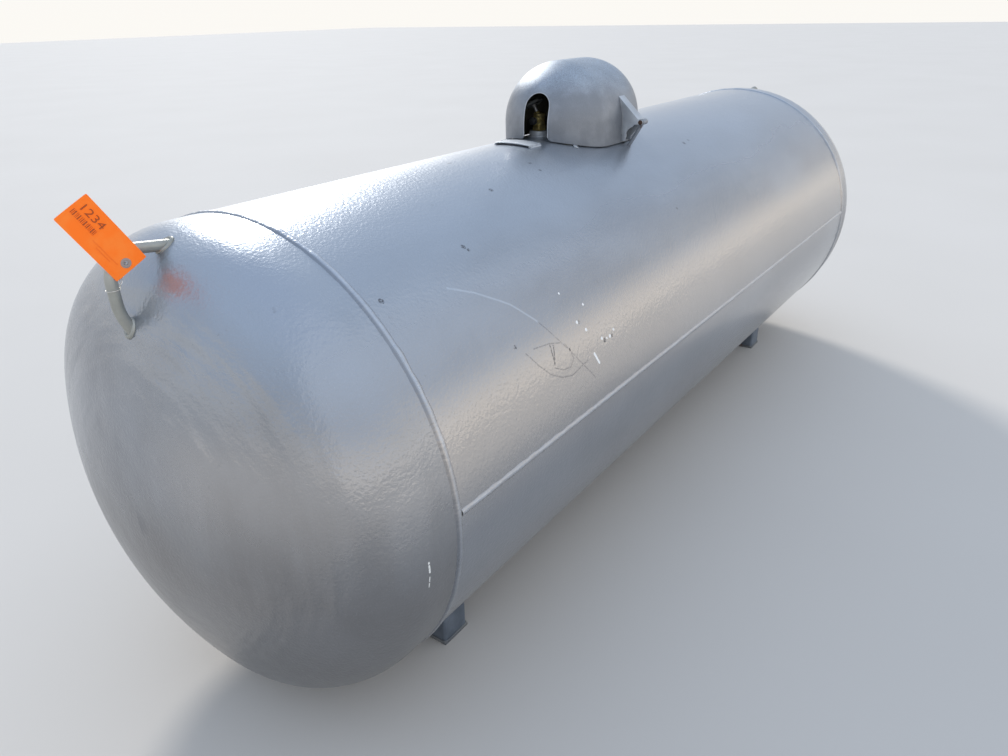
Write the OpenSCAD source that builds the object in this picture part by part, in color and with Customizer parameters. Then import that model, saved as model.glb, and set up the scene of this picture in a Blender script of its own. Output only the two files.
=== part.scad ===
// Horizontal pressure tank on four channel legs, with a hinged fitting hood.
// Millimetres. X runs along the tank, Z is up, and the floor is at z = 0.
// The near end (ring and tag) is at -X, and the hood's hinge is on the -Y side.

/* [Tank] */
// Outside diameter of the shell
tank_od = 950; // [900:5:1000]
// Length of the cylindrical shell between its two girth welds
shell_len = 2437; // [2200:1:2700]
// Thickness of the shell plate
shell_t = 5.3; // [4:0.1:8]
// Thickness of the pressed heads
head_t = 5; // [4:0.1:8]
// Straight flange of each head, beyond the girth weld
head_flange = 55; // [30:1:80]
// Crown radius of the heads
crown_r = 855; // [800:5:950]
// Knuckle radius of the heads
knuckle_r = 164; // [130:1:190]
// Height of the tank's underside above the floor
clearance = 45; // [35:1:90]

/* [Welds] */
// Width of the girth weld beads
girth_bead_w = 18; // [10:1:26]
// Height of the girth weld beads
girth_bead_h = 2.2; // [1.5:0.1:4]
// Width of the long seam's bead
seam_bead_w = 14; // [8:1:22]
// Height of the long seam's bead
seam_bead_h = 1.8; // [1.2:0.1:4]
// Angle of the long seam above the middle of the -Y side
seam_angle = 3.8; // [-20:0.1:30]

/* [Lifting rings] */
// Diameter of the ring's round bar
ring_bar_d = 19; // [14:0.5:24]
// Drop from the shell's top line to the middle of the upper bar end
ring_drop = 22; // [16:1:32]
// Height between the two bar ends
ring_span = 115; // [106:1:126]
// Reach of the upper corner beyond the head's surface
ring_reach_top = 99; // [92:1:112]
// Height of the upper corner above the upper bar end
ring_top_rise = 14; // [2:1:18]
// Reach of the lower corner beyond the head's surface
ring_reach_low = 11; // [10:1:20]
// Height of the lower corner above the lower bar end
ring_low_rise = 30; // [26:1:36]
// Radius of the upper bend, to the middle of the bar
ring_bend_top = 44; // [34:1:46]
// Radius of the lower bend, to the middle of the bar
ring_bend_low = 80; // [50:1:84]

/* [Legs] */
// Distance from each girth weld in to the middle of the legs
leg_in = 212.5; // [140:0.5:360]
// Distance from the tank's middle line to the outer face of each leg
leg_y = 263; // [230:1:285]
// Width of the leg's channel
leg_w = 77; // [60:1:110]
// Depth of the leg's channel
leg_depth = 74; // [55:1:95]
// Thickness of the leg's plate
leg_t = 6; // [5:0.5:9]
// Thickness of the foot plate
foot_t = 6.5; // [5:0.5:12]
// How far the foot plate stands out round the channel
foot_rim = 2; // [1:0.5:12]
// Diameter of the anchor hole in each foot plate
anchor_d = 17.5; // [12:0.5:22]
// Distance from the leg's outer face to the anchor hole
anchor_in = 40; // [30:1:52]

/* [Hood] */
// Position of the hood's middle along the tank
hood_x = -84; // [-300:1:300]
// Length of the hood
hood_len = 424; // [400:1:480]
// Width of the hood, which is twice its round radius
hood_w = 308; // [290:2:320]
// Height of the hood's top above the shell's top line
hood_h = 186.5; // [180:0.5:220]
// Thickness of the hood's sheet
hood_t = 3; // [2:0.1:5]
// Gap between the hood's edge and the shell
hood_gap = 3; // [2:0.5:8]
// Width of the arched cut-out
arch_w = 70; // [50:1:90]
// Height of the arched cut-out's top above the shell's top line
arch_h = 115.5; // [90:0.5:125]
// Sideways shift of the arched cut-out
arch_y = -13; // [-30:1:30]
// Radius of the cut-out's two lower corners
arch_foot_r = 8; // [4:0.5:12]

/* [Hood hinge] */
// Position of the hinge's middle along the tank
hinge_x = -67; // [-150:1:50]
// Width of the sheet box that covers the hinge
box_w = 32; // [30:1:44]
// Thickness of the hinge box's sheet
box_t = 2.5; // [2:0.1:3]
// Height of the hinge box's upper end above the shell's top line
box_top = 96; // [90:1:104]
// Slope of the hinge box's roof
box_slope = 42.7; // [40:0.1:44]
// Reach of the hinge pin beyond the hood's side
pin_reach = 55.5; // [52:0.5:58]
// Diameter of the hinge pin
pin_d = 8; // [7:0.5:10]
// Overhang of the pin at each side of the box
pin_over = 1.5; // [1:0.5:6]
// Thickness of the bracket that carries the pin
bracket_t = 5; // [4:0.5:7]
// Gap at each side between the bracket's knuckle and the box
knuckle_gap = 1.5; // [1:0.5:2.5]
// Gap at each side between the bracket's strap and the box
bracket_gap = 5; // [4:0.5:7]
// Reach of the bracket's foot beyond the hood's side
bracket_reach = 12; // [11:1:24]

/* [Strap and rest lugs] */
// Width of the raised strap on the crown, along the tank
strap_w = 50; // [40:1:80]
// Length of the strap round the crown
strap_len = 106; // [90:1:140]
// Thickness of the strap
strap_t = 2.5; // [2:0.5:5]
// Height of the strap's underside above the shell
strap_rise = 4; // [3:0.5:8]
// Gap between the strap and the hood's front
strap_ahead = 39; // [5:1:60]
// Sideways shift of the strap
strap_side = -4; // [-10:1:10]
// Length of each rest lug under the hood's edge
lug_len = 30; // [20:1:40]
// Width of each rest lug
lug_w = 10; // [8:0.5:14]

/* [Fittings] */
// Diameter of the steel bosses that the fittings screw into
boss_d = 54; // [50:1:60]
// Height of the bosses above the shell's top line
boss_h = 14; // [12:1:18]
// Diameter of the service valve's body
service_d = 32; // [28:1:36]
// Height of the service valve's body above its boss
service_h = 44; // [40:1:50]
// Diameter of the service valve's outlet
outlet_d = 24; // [20:1:28]
// Diameter of the plug in the outlet, across its flats' corners
plug_d = 20; // [16:1:24]
// Tilt of the service valve's spindle
spindle_tilt = 29; // [20:1:32]
// Length of the service valve's spindle
spindle_len = 46; // [40:1:48]
// Diameter of the handwheel
wheel_d = 56; // [46:1:60]
// Height of the relief valve above its boss
relief_h = 72; // [60:1:80]
// Diameter of the relief valve
relief_d = 44; // [38:1:48]
// Height of the filling valve above its boss
fill_h = 52; // [45:1:60]
// Diameter of the filling valve
fill_d = 42; // [36:1:46]
// Diameter of the float gauge's plate
gauge_d = 62; // [54:1:66]
// Thickness of the float gauge's plate
gauge_plate_t = 7; // [5:0.5:9]
// Diameter of the float gauge's neck
gauge_neck_d = 46; // [40:1:50]
// Height of the float gauge above its boss
gauge_h = 16; // [12:1:24]
// Height of the vapour valve above its boss
vapour_h = 40; // [34:1:46]
// Diameter of the vapour valve
vapour_d = 28; // [24:1:32]

/* [Tag] */
// Width of the lot tag
tag_w = 58; // [50:1:66]
// Length of the lot tag
tag_len = 125; // [110:1:130]
// Thickness of the lot tag
tag_t = 0.6; // [0.4:0.1:1]
// Lean of the tag away from upright
tag_lean = 30.5; // [20:0.5:31]
// Turn of the tag about its own length
tag_turn = 11.5; // [8:0.5:14]
// Tip of the tag's upper end away from the ring
tag_tip = 5.5; // [4:0.5:7]
// Distance from the tag's lower edge to its eyelet
eyelet_up = 13; // [11:1:18]
// Outer diameter of the tag's eyelet
eyelet_d = 16; // [12:0.5:18]
// Hole of the tag's eyelet
eyelet_hole = 6; // [5:0.5:7]
// Diameter of the tag's tie wire
wire_d = 1.6; // [1.2:0.1:2]

/* [Hidden] */
$fn = 96;

seat = 0.3;
tank_r = tank_od / 2;
axis_z = clearance + tank_r;
half_shell = shell_len / 2;
leg_x = half_shell - leg_in;

// Pressed head: crown arc and knuckle arc meet at junction_r
knuckle_c = tank_r - knuckle_r;
crown_sin = knuckle_c / (crown_r - knuckle_r);
dish_depth = crown_r - sqrt(pow(crown_r - knuckle_r, 2) - pow(knuckle_c, 2));
junction_r = crown_r * crown_sin;

// Distance from the girth weld to the head's outer surface, at a height above the axis
function head_reach(z) = head_flange + (z <= junction_r
  ? sqrt(crown_r * crown_r - z * z) - crown_r + dish_depth
  : sqrt(knuckle_r * knuckle_r - pow(z - knuckle_c, 2)));

// Height of the shell's outer surface above the axis, at a distance from the middle line
function shell_z(y) = sqrt(tank_r * tank_r - y * y);

// Ring corners, as distance from the girth weld and height above the axis
ring_z1 = tank_r - ring_drop;
ring_z2 = ring_z1 - ring_span;
ring_sink = ring_bar_d * 1.2;
ring_corner_top = [head_reach(ring_z1) + ring_reach_top, ring_z1 + ring_top_rise];
ring_corner_low = [head_reach(ring_z2) + ring_reach_low, ring_z2 + ring_low_rise];
ring_start = [head_reach(ring_z1), ring_z1]
  - unit(ring_corner_top - [head_reach(ring_z1), ring_z1]) * ring_sink;
ring_low_way = unit([head_reach(ring_z2), ring_z2] - ring_corner_low);
ring_end = [head_reach(ring_z2), ring_z2] + ring_low_way * ring_sink;
ring_points = [ring_start, ring_corner_top, ring_corner_low, ring_end];
ring_bends = [ring_bend_top, ring_bend_low];
bar_overlap = 1;
bar_step = 0.1;

// Hood: a stadium in plan with a round top, so one radius serves both
hood_r = hood_w / 2;
hood_half = hood_len / 2 - hood_r;
hood_spring = tank_r + hood_h - hood_r;
hood_foot = tank_r - 45;
arch_r = arch_w / 2;
arch_spring = tank_r + arch_h - arch_r;
arch_foot_z = tank_r + hood_gap - 1.5 + arch_foot_r;
arch_cut = 80;

// Hinge box roof line, pin and bracket, as y and height above the axis
box_wall_y = -sqrt(hood_r * hood_r - pow(tank_r + box_top - hood_spring, 2));
function roof_z(y) = tank_r + box_top + (y - box_wall_y) * tan(box_slope);
function side_z(y) = roof_z(y) - box_t / 2 / cos(box_slope);
pin_y = -hood_r - pin_reach;
pin_z = roof_z(pin_y);
pin_fit = 0.05;
pin_head_d = pin_d + 4;
pin_head_t = 3;
nose_r = pin_d / 2 + 2.5;
hinge_knuckle_r = pin_d / 2 + 3.5;
roof_end_y = pin_y + (hinge_knuckle_r + 3) * cos(box_slope);
box_in = 34;
box_in_y = -hood_r + box_in;
box_foot_z = sqrt(pow(tank_r + hood_gap, 2) - hood_r * hood_r) + 4;
bracket_foot_y = -hood_r - bracket_reach;
bracket_foot_z = shell_z(bracket_foot_y) - 8;

// Lower edge of the box's sides: share of the way out to the pin, share of the way up to it
torn_edge = [[0.667, 0.883], [0.557, 0.735], [0.45, 0.7], [0.326, 0.578], [0.3, 0.5],
             [0.245, 0.4], [0.281, 0.289], [0.24, 0.15], [0.222, 0]];
cut_edge = [[0.72, 0.8], [0.26, 0.2], [0.222, 0]];

// Strap and lugs
strap_x = hood_x - hood_len / 2 - strap_ahead - strap_w / 2;
strap_a = strap_len / tank_r * 90 / PI;
strap_turn = strap_side / tank_r * 180 / PI;
lug_angle = 45;
lug_blank = 60;

// Fittings, as offsets from the hood's middle
boss_top = tank_r + boss_h;
service_at = [-128, 27];
relief_at = [-20, 40];
fill_at = [80, 4];
gauge_at = [20, -46];
vapour_at = [-62, -42];
boss_places = [service_at, relief_at, fill_at, gauge_at, vapour_at];
boss_sink = 20;

// Foot hexagons of the valves: width across the corners, and height
service_hex = [service_d * 1.25, 14];
relief_hex = [relief_d * 1.15, 16];
fill_hex = [fill_d * 1.2, 18];
vapour_hex = [vapour_d * 1.3, 14];

// Caps: diameter and height of the rim, then diameter and height of the tapered top
relief_cap_size = [relief_d + 6, 6, relief_d - 10, 5];
fill_cap_size = [fill_d + 8, 18, fill_d - 4, 4];
vapour_cap_size = [vapour_d + 6, 14];
dial_size = [30, 6];

// Service valve: outlet and its plug, spindle and handwheel
outlet_over_hex = 0.4;
outlet_z = service_hex[1] + outlet_d / 2 + outlet_over_hex;
outlet_reach = 26;
plug_flange_h = 3;
plug_hex_h = 7;
spindle_base = service_h - 12;
spindle_d = 10.4;
spindle_bore_d = 11;
wheel_rim_d = 8;
wheel_hub_d = 18;
wheel_bore_d = 10.8;
spoke_w = 6;
spoke_t = 4;

// Tag: it stands in front of the near ring and is tied to the ring's outer bar
tie_share = 0.62;
tie_point = ring_corner_top * (1 - tie_share) + ring_corner_low * tie_share;
tie_way = unit(ring_corner_low - ring_corner_top);
tag_back_y = -ring_bar_d / 2 - 6.2;
eyelet_point = [head_reach(ring_z1) + 76, ring_z1 - 7.3];
eyelet_fit = 0.1;
eyelet_proud = 0.2;
wire_turn_d = wire_d + 0.4;
wire_clear = 0.1;
wire_side = 52;
wire_back_y = tag_back_y + wire_d / 2 + 0.2;
wire_front_y = tag_back_y - tag_t - wire_d / 2 - 0.5;

function unit(v) = v / norm(v);
function turn_half(a, k, b) = acos(unit(a - k) * unit(b - k)) / 2;
function tangent_len(a, k, b, r) = r / tan(turn_half(a, k, b));

// Places its children on the tank's axis
module on_axis() {
  translate([0, 0, axis_z]) children();
}

// Cylinder of a given radius along the tank's axis
module axis_cylinder(r, length) {
  rotate([0, 90, 0]) cylinder(r = r, h = length, center = true, $fn = 360);
}

// Half outline of a head, drawn as radius and height, moved in by a wall thickness
module head_outline(inset) {
  join_r = (crown_r - inset) * crown_sin;
  square([tank_r - inset, head_flange]);
  intersection() {
    translate([0, head_flange + dish_depth - crown_r]) circle(r = crown_r - inset);
    translate([0, head_flange]) square([join_r, dish_depth]);
  }
  intersection() {
    translate([knuckle_c, head_flange]) circle(r = knuckle_r - inset);
    translate([join_r, head_flange]) square([tank_r - join_r, dish_depth]);
  }
}

module head_solid(inset) {
  rotate_extrude() head_outline(inset);
}

module pressed_head() {
  rotate_extrude() difference() {
    head_outline(0);
    head_outline(head_t);
  }
}

// Shallow round cap of a weld bead: its flat side is at x = 0
module bead_section(w, h) {
  r = (w * w / 4 + h * h) / (2 * h);
  intersection() {
    translate([h - r, 0]) circle(r = r);
    translate([seat, -w]) square([h, 2 * w]);
  }
}

module girth_weld() {
  rotate_extrude() translate([tank_r, 0]) bead_section(girth_bead_w, girth_bead_h);
}

// Round rod between two points
module rod(p, q, d) {
  v = q - p;
  translate(p) rotate([0, acos(v[2] / norm(v)), atan2(v[1], v[0])]) cylinder(d = d, h = norm(v));
}

// Piece of round bar in the XZ plane, which runs a little into the bends at its ends
module bar_run(points, bends, i, d) {
  last = len(points) - 2;
  a = points[i];
  b = points[i + 1];
  trim_a = i == 0 ? 0 : tangent_len(points[i - 1], a, b, bends[i - 1]) - bar_overlap;
  trim_b = i == last ? 0 : tangent_len(a, b, points[i + 2], bends[i]) - bar_overlap;
  p = a + unit(b - a) * trim_a;
  q = b - unit(b - a) * trim_b;
  rod([p[0], 0, p[1]], [q[0], 0, q[1]], d - bar_step);
}

// Bend of round bar in the XZ plane, about the corner k
module bar_bend(a, k, b, r, d) {
  half = turn_half(a, k, b);
  middle = k + unit(unit(a - k) + unit(b - k)) * r / sin(half);
  ta = k + unit(a - k) * tangent_len(a, k, b, r) - middle;
  tb = k + unit(b - k) * tangent_len(a, k, b, r) - middle;
  from = cross(ta, tb) > 0 ? ta : tb;
  translate([middle[0], 0, middle[1]]) rotate([90, 0, 0]) rotate([0, 0, atan2(from[1], from[0])])
    rotate_extrude(angle = 180 - 2 * half) translate([r, 0]) circle(d = d);
}

module bent_bar(points, bends, d) {
  for (i = [0 : len(points) - 2]) bar_run(points, bends, i, d);
  for (i = [1 : len(points) - 2]) {
    bar_bend(points[i - 1], points[i], points[i + 1], bends[i - 1], d);
  }
}

// Lifting ring at the +X end of a tank whose girth weld is at x = 0
module lifting_ring() {
  difference() {
    bent_bar(ring_points, ring_bends, ring_bar_d);
    rotate([0, 90, 0]) head_solid(-seat);
  }
}

// Leg in its own place: the channel's web faces -Y, and its top fits the shell
module channel_leg() {
  difference() {
    translate([-leg_w / 2, -leg_y, foot_t]) cube([leg_w, leg_depth, axis_z - foot_t]);
    translate([-leg_w / 2 + leg_t, -leg_y + leg_t, 0]) cube([leg_w - 2 * leg_t, leg_depth, axis_z]);
    on_axis() axis_cylinder(tank_r + seat, 2 * leg_w);
  }
}

module foot_plate() {
  difference() {
    translate([-leg_w / 2 - foot_rim, -leg_y - foot_rim, 0])
      cube([leg_w + 2 * foot_rim, leg_depth + 2 * foot_rim, foot_t]);
    translate([0, -leg_y + anchor_in, -1]) cylinder(d = anchor_d, h = foot_t + 2);
  }
}

// Puts a leg or foot at one corner: side is -1 at the front, end is -1 at the near end
module corner(end, side) {
  translate([end * leg_x, 0, 0]) mirror([0, side > 0 ? 1 : 0, 0]) children();
}

// Solid form of the hood, down to below the shell's crown
module hood_form(r) {
  for (end = [-1, 1]) translate([end * hood_half, 0, 0]) {
    translate([0, 0, hood_spring]) sphere(r = r);
    translate([0, 0, hood_foot]) cylinder(r = r, h = hood_spring - hood_foot);
  }
  translate([0, 0, hood_spring]) rotate([0, 90, 0]) cylinder(r = r, h = 2 * hood_half, center = true);
  translate([-hood_half, -r, hood_foot]) cube([2 * hood_half, 2 * r, hood_spring - hood_foot]);
}

// Cut-out in the hood's near end: an arch whose lower corners are rounded outwards
module arch_cutter() {
  translate([-hood_len / 2 - 10, arch_y, 0]) across(arch_cut) {
    translate([-arch_r, hood_foot]) square([arch_w, arch_spring - hood_foot]);
    translate([0, arch_spring]) circle(r = arch_r);
    for (side = [-1, 1]) difference() {
      translate([side * arch_r - arch_foot_r, hood_foot])
        square([2 * arch_foot_r, arch_foot_z - hood_foot]);
      translate([side * (arch_r + arch_foot_r), arch_foot_z]) circle(r = arch_foot_r);
    }
  }
}

// Side plate of the hinge box, with a given lower edge
module box_side(edge) {
  across(box_t) polygon(concat(
    [[box_in_y, side_z(box_in_y)], [pin_y + 3, side_z(pin_y + 3)], [pin_y + 1, pin_z - nose_r * 0.9]],
    [for (p = edge) [-hood_r - p[0] * pin_reach, box_foot_z + p[1] * (pin_z - box_foot_z)]],
    [[box_in_y, box_foot_z]]));
  at_pin() cylinder(r = nose_r, h = box_t);
}

// Plate that lies across the tank, from its outline of y and height
module across(t) {
  rotate([90, 0, 90]) linear_extrude(height = t) children();
}

// Turns its children's Z onto the hinge pin's axis
module at_pin() {
  translate([0, pin_y, pin_z]) rotate([0, 90, 0]) children();
}

module hinge_bore() {
  at_pin() cylinder(d = pin_d + 2 * pin_fit, h = box_w * 2, center = true);
}

// Boss whose foot fits the shell
module boss(place) {
  difference() {
    translate([place[0], place[1], tank_r - boss_sink]) cylinder(d = boss_d, h = boss_h + boss_sink);
    axis_cylinder(tank_r + seat, hood_len * 2);
  }
}

// Stands its children on a boss under the hood
module on_boss(place) {
  on_axis() translate([hood_x + place[0], place[1], boss_top + seat]) children();
}

// Foot hexagon with a round body above it, up to a height
module hex_fitting(hex, body_d, h) {
  cylinder(d = hex[0], h = hex[1], $fn = 6);
  translate([0, 0, hex[1]]) cylinder(d = body_d, h = h - hex[1]);
}

// Cap with a round rim and a tapered top
module round_cap(size) {
  cylinder(d = size[0], h = size[1]);
  translate([0, 0, size[1]]) cylinder(d1 = size[0], d2 = size[2], h = size[3]);
}

module tilt_spindle() {
  translate([0, 0, spindle_base]) rotate([-spindle_tilt, 0, 0]) children();
}

// Tag's own place: x across, z along, with its eyelet at the origin and its back at y = 0
module in_tag_place() {
  translate([-half_shell - eyelet_point[0], tag_back_y, axis_z + eyelet_point[1]])
    rotate([0, -tag_lean, 0]) rotate([0, 0, -tag_turn]) rotate([-tag_tip, 0, 0]) children();
}

module shell() {
  color("#a9b0b8") on_axis() difference() {
    axis_cylinder(tank_r, shell_len);
    axis_cylinder(tank_r - shell_t, shell_len + 2);
  }
}

module near_head() {
  color("#adb3ba") on_axis() translate([-half_shell, 0, 0]) rotate([0, -90, 0]) pressed_head();
}

module far_head() {
  color("#adb3ba") on_axis() translate([half_shell, 0, 0]) rotate([0, 90, 0]) pressed_head();
}

module near_girth_weld() {
  color("#b4b9bf") on_axis() translate([-half_shell, 0, 0]) rotate([0, 90, 0]) girth_weld();
}

module far_girth_weld() {
  color("#b4b9bf") on_axis() translate([half_shell, 0, 0]) rotate([0, 90, 0]) girth_weld();
}

module long_seam_weld() {
  length = shell_len - girth_bead_w - 2 * seat;
  color("#b4b9bf") on_axis() rotate([-seam_angle, 0, 0]) rotate([0, 0, 180])
    rotate([90, 0, 90]) translate([0, 0, -length / 2]) linear_extrude(height = length) difference() {
      translate([tank_r, 0]) bead_section(seam_bead_w, seam_bead_h);
      circle(r = tank_r + seat);
    }
}

module near_lifting_ring() {
  color("#989ea6") on_axis() translate([-half_shell, 0, 0]) mirror([1, 0, 0]) lifting_ring();
}

module far_lifting_ring() {
  color("#989ea6") on_axis() translate([half_shell, 0, 0]) lifting_ring();
}

module leg_front_near() {
  color("#7b8794") corner(-1, -1) channel_leg();
}

module leg_front_far() {
  color("#7b8794") corner(1, -1) channel_leg();
}

module leg_back_near() {
  color("#7b8794") corner(-1, 1) channel_leg();
}

module leg_back_far() {
  color("#7b8794") corner(1, 1) channel_leg();
}

module foot_front_near() {
  color("#8d8f8e") corner(-1, -1) foot_plate();
}

module foot_front_far() {
  color("#8d8f8e") corner(1, -1) foot_plate();
}

module foot_back_near() {
  color("#8d8f8e") corner(-1, 1) foot_plate();
}

module foot_back_far() {
  color("#8d8f8e") corner(1, 1) foot_plate();
}

module hood() {
  color("#a5acb4") on_axis() translate([hood_x, 0, 0]) difference() {
    hood_form(hood_r);
    hood_form(hood_r - hood_t);
    arch_cutter();
    axis_cylinder(tank_r + hood_gap, hood_len * 2);
  }
}

module hinge_box() {
  color("#9aa1a9") on_axis() translate([hinge_x, 0, 0]) difference() {
    union() {
      translate([-box_w / 2, 0, 0]) box_side(torn_edge);
      translate([box_w / 2 - box_t, 0, 0]) box_side(cut_edge);
      translate([-box_w / 2, 0, 0]) across(box_w) polygon([
        [box_in_y, roof_z(box_in_y)],
        [roof_end_y, roof_z(roof_end_y)],
        [roof_end_y, roof_z(roof_end_y) - box_t / cos(box_slope)],
        [box_in_y, roof_z(box_in_y) - box_t / cos(box_slope)]
      ]);
    }
    translate([hood_x - hinge_x, 0, 0]) hood_form(hood_r + seat);
    hinge_bore();
  }
}

module hinge_bracket() {
  inner_w = box_w - 2 * box_t;
  strap_width = inner_w - 2 * bracket_gap;
  knuckle_w = inner_w - 2 * knuckle_gap;
  foot = [bracket_foot_y, bracket_foot_z];
  pin = [pin_y, pin_z];
  way = unit(foot - pin);
  half_t = [-way[1], way[0]] * bracket_t / 2;
  color("#8c8f92") on_axis() translate([hinge_x, 0, 0]) difference() {
    union() {
      translate([-strap_width / 2, 0, 0]) across(strap_width)
        polygon([pin + half_t, foot + half_t, foot - half_t, pin - half_t]);
      at_pin() cylinder(r = hinge_knuckle_r, h = knuckle_w, center = true);
    }
    axis_cylinder(tank_r + seat, box_w * 2);
    hinge_bore();
  }
}

module hinge_pin() {
  pin_len = box_w + 2 * pin_over;
  color("#6b4a33") on_axis() translate([hinge_x, 0, 0]) at_pin() {
    cylinder(d = pin_d, h = pin_len, center = true);
    translate([0, 0, -pin_len / 2 - pin_head_t]) cylinder(d = pin_head_d, h = pin_head_t);
  }
}

// Raised strap: a curved plate with a bent foot at each end
module crown_strap() {
  inner = tank_r + strap_rise;
  outer = inner + strap_t;
  foot_a = strap_t / tank_r * 180 / PI;
  color("#aab1b8") on_axis() rotate([-strap_turn, 0, 0]) translate([strap_x - strap_w / 2, 0, 0])
    across(strap_w) {
      intersection() {
        difference() {
          circle(r = outer);
          circle(r = inner);
        }
        polygon([[0, 0], for (a = [-strap_a, strap_a]) [sin(a), cos(a)] * outer * 1.5]);
      }
      for (end = [-1, 1]) intersection() {
        difference() {
          circle(r = outer);
          circle(r = tank_r + seat);
        }
        polygon([[0, 0],
          for (a = [end * strap_a, end * (strap_a - foot_a)]) [sin(a), cos(a)] * outer * 1.5]);
      }
    }
}

// Small bars under the hood's edge at its four corners
module rest_lugs() {
  color("#9ea4aa") on_axis() difference() {
    for (end = [-1, 1], side = [-1, 1])
      translate([hood_x + end * (hood_half + hood_r * cos(lug_angle)), side * hood_r * sin(lug_angle), 0])
        rotate([0, 0, end * side * lug_angle])
          translate([-lug_len / 2, -lug_w / 2, hood_foot]) cube([lug_len, lug_w, lug_blank]);
    difference() {
      axis_cylinder(tank_r + lug_blank, hood_len * 3);
      axis_cylinder(tank_r + hood_gap - seat, hood_len * 3);
    }
    axis_cylinder(tank_r + seat, hood_len * 3);
  }
}

module fitting_bosses() {
  color("#8f9499") on_axis() translate([hood_x, 0, 0]) for (place = boss_places) boss(place);
}

module service_valve() {
  color("#b08d4a") on_boss(service_at) difference() {
    union() {
      hex_fitting(service_hex, service_d, service_h);
      translate([0, 0, outlet_z]) rotate([0, -90, 0]) cylinder(d = outlet_d, h = outlet_reach);
    }
    tilt_spindle() translate([0, 0, -2]) cylinder(d = spindle_bore_d, h = spindle_len + 10);
  }
}

module outlet_plug() {
  color("#2a2b2c") on_boss(service_at) translate([-outlet_reach - seat, 0, outlet_z]) rotate([0, -90, 0]) {
    cylinder(d = plug_d, h = plug_flange_h);
    translate([0, 0, plug_flange_h]) cylinder(d = plug_d, h = plug_hex_h, $fn = 6);
  }
}

module service_spindle() {
  color("#b8954f") on_boss(service_at) tilt_spindle() cylinder(d = spindle_d, h = spindle_len);
}

module service_handwheel() {
  color("#4a4d4c") on_boss(service_at) tilt_spindle() translate([0, 0, spindle_len - 10]) {
    rotate_extrude() translate([(wheel_d - wheel_rim_d) / 2, wheel_rim_d / 2]) circle(d = wheel_rim_d);
    difference() {
      union() {
        cylinder(d = wheel_hub_d, h = wheel_rim_d);
        for (a = [0, 90]) rotate([0, 0, a]) translate([0, 0, wheel_rim_d / 2])
          cube([wheel_d - wheel_rim_d - 2, spoke_w, spoke_t], center = true);
      }
      translate([0, 0, -1]) cylinder(d = wheel_bore_d, h = wheel_rim_d + 2);
    }
  }
}

module relief_valve() {
  color("#a98a4c") on_boss(relief_at) hex_fitting(relief_hex, relief_d, relief_h);
}

module relief_cap() {
  color("#2b2d2e") on_boss(relief_at) translate([0, 0, relief_h + seat]) round_cap(relief_cap_size);
}

module fill_valve() {
  color("#ad8c49") on_boss(fill_at) hex_fitting(fill_hex, fill_d, fill_h);
}

module fill_cap() {
  color("#b3924e") on_boss(fill_at) translate([0, 0, fill_h + seat]) round_cap(fill_cap_size);
}

module float_gauge() {
  color("#9a9c9d") on_boss(gauge_at) {
    cylinder(d = gauge_neck_d, h = gauge_h - gauge_plate_t);
    translate([0, 0, gauge_h - gauge_plate_t]) cylinder(d = gauge_d, h = gauge_plate_t);
  }
}

module gauge_dial() {
  color("#d9d9d2") on_boss(gauge_at) translate([0, 0, gauge_h + seat])
    cylinder(d = dial_size[0], h = dial_size[1]);
}

module vapour_valve() {
  color("#ad8c49") on_boss(vapour_at) hex_fitting(vapour_hex, vapour_d, vapour_h);
}

module vapour_cap() {
  color("#c2a04f") on_boss(vapour_at) translate([0, 0, vapour_h + seat])
    cylinder(d = vapour_cap_size[0], h = vapour_cap_size[1]);
}

module lot_tag() {
  color("#f58220") in_tag_place() difference() {
    translate([-tag_w / 2, -tag_t, -eyelet_up]) cube([tag_w, tag_t, tag_len]);
    rotate([90, 0, 0]) cylinder(d = eyelet_d + 2 * eyelet_fit, h = 4 * tag_t, center = true);
  }
}

module tag_eyelet() {
  color("#c9b9ab") in_tag_place() translate([0, -tag_t / 2, 0]) rotate([90, 0, 0]) difference() {
    cylinder(d = eyelet_d, h = tag_t + 2 * eyelet_proud, center = true);
    cylinder(d = eyelet_hole, h = 4 * tag_t, center = true);
  }
}

// Wire: one turn round the ring's bar, and two strands up to the eyelet
module tag_wire() {
  turn_r = (ring_bar_d + wire_turn_d) / 2 + wire_clear;
  tie = [-half_shell - tie_point[0], 0, axis_z + tie_point[1]];
  start = tie + turn_r * [cos(wire_side), -sin(wire_side), 0];
  eye = [-half_shell - eyelet_point[0], 0, axis_z + eyelet_point[1]];
  bar_angle = atan2(-tie_way[0], tie_way[1]);
  color("#d8d2c4") union() {
    translate(tie) rotate([0, bar_angle, 0]) rotate_extrude()
      translate([turn_r, 0]) circle(d = wire_turn_d);
    for (way = [[start, [eye[0], wire_back_y, eye[2]]],
                [[eye[0], wire_back_y, eye[2]], [eye[0], wire_front_y, eye[2]]]]) {
      rod(way[0], way[1], wire_d);
      translate(way[1]) sphere(d = wire_turn_d);
    }
  }
}

shell();
near_head();
far_head();
near_girth_weld();
far_girth_weld();
long_seam_weld();
near_lifting_ring();
far_lifting_ring();
leg_front_near();
leg_front_far();
leg_back_near();
leg_back_far();
foot_front_near();
foot_front_far();
foot_back_near();
foot_back_far();
hood();
hinge_box();
hinge_bracket();
hinge_pin();
crown_strap();
rest_lugs();
fitting_bosses();
service_valve();
outlet_plug();
service_spindle();
service_handwheel();
relief_valve();
relief_cap();
fill_valve();
fill_cap();
float_gauge();
gauge_dial();
vapour_valve();
vapour_cap();
lot_tag();
tag_eyelet();
tag_wire();
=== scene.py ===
# %% [markdown]
# # A horizontal pressure tank, dressed in Blender
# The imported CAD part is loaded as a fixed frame: every solid already stands where it belongs,
# in metres, with X along the tank and Z up. What Blender adds is what a drawing leaves out:
# paint, weld beads, the bent tag, the worn edges and the small hardware. Nothing in the frame
# is moved, so each new piece is placed with the same numbers that the drawing uses.

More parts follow.
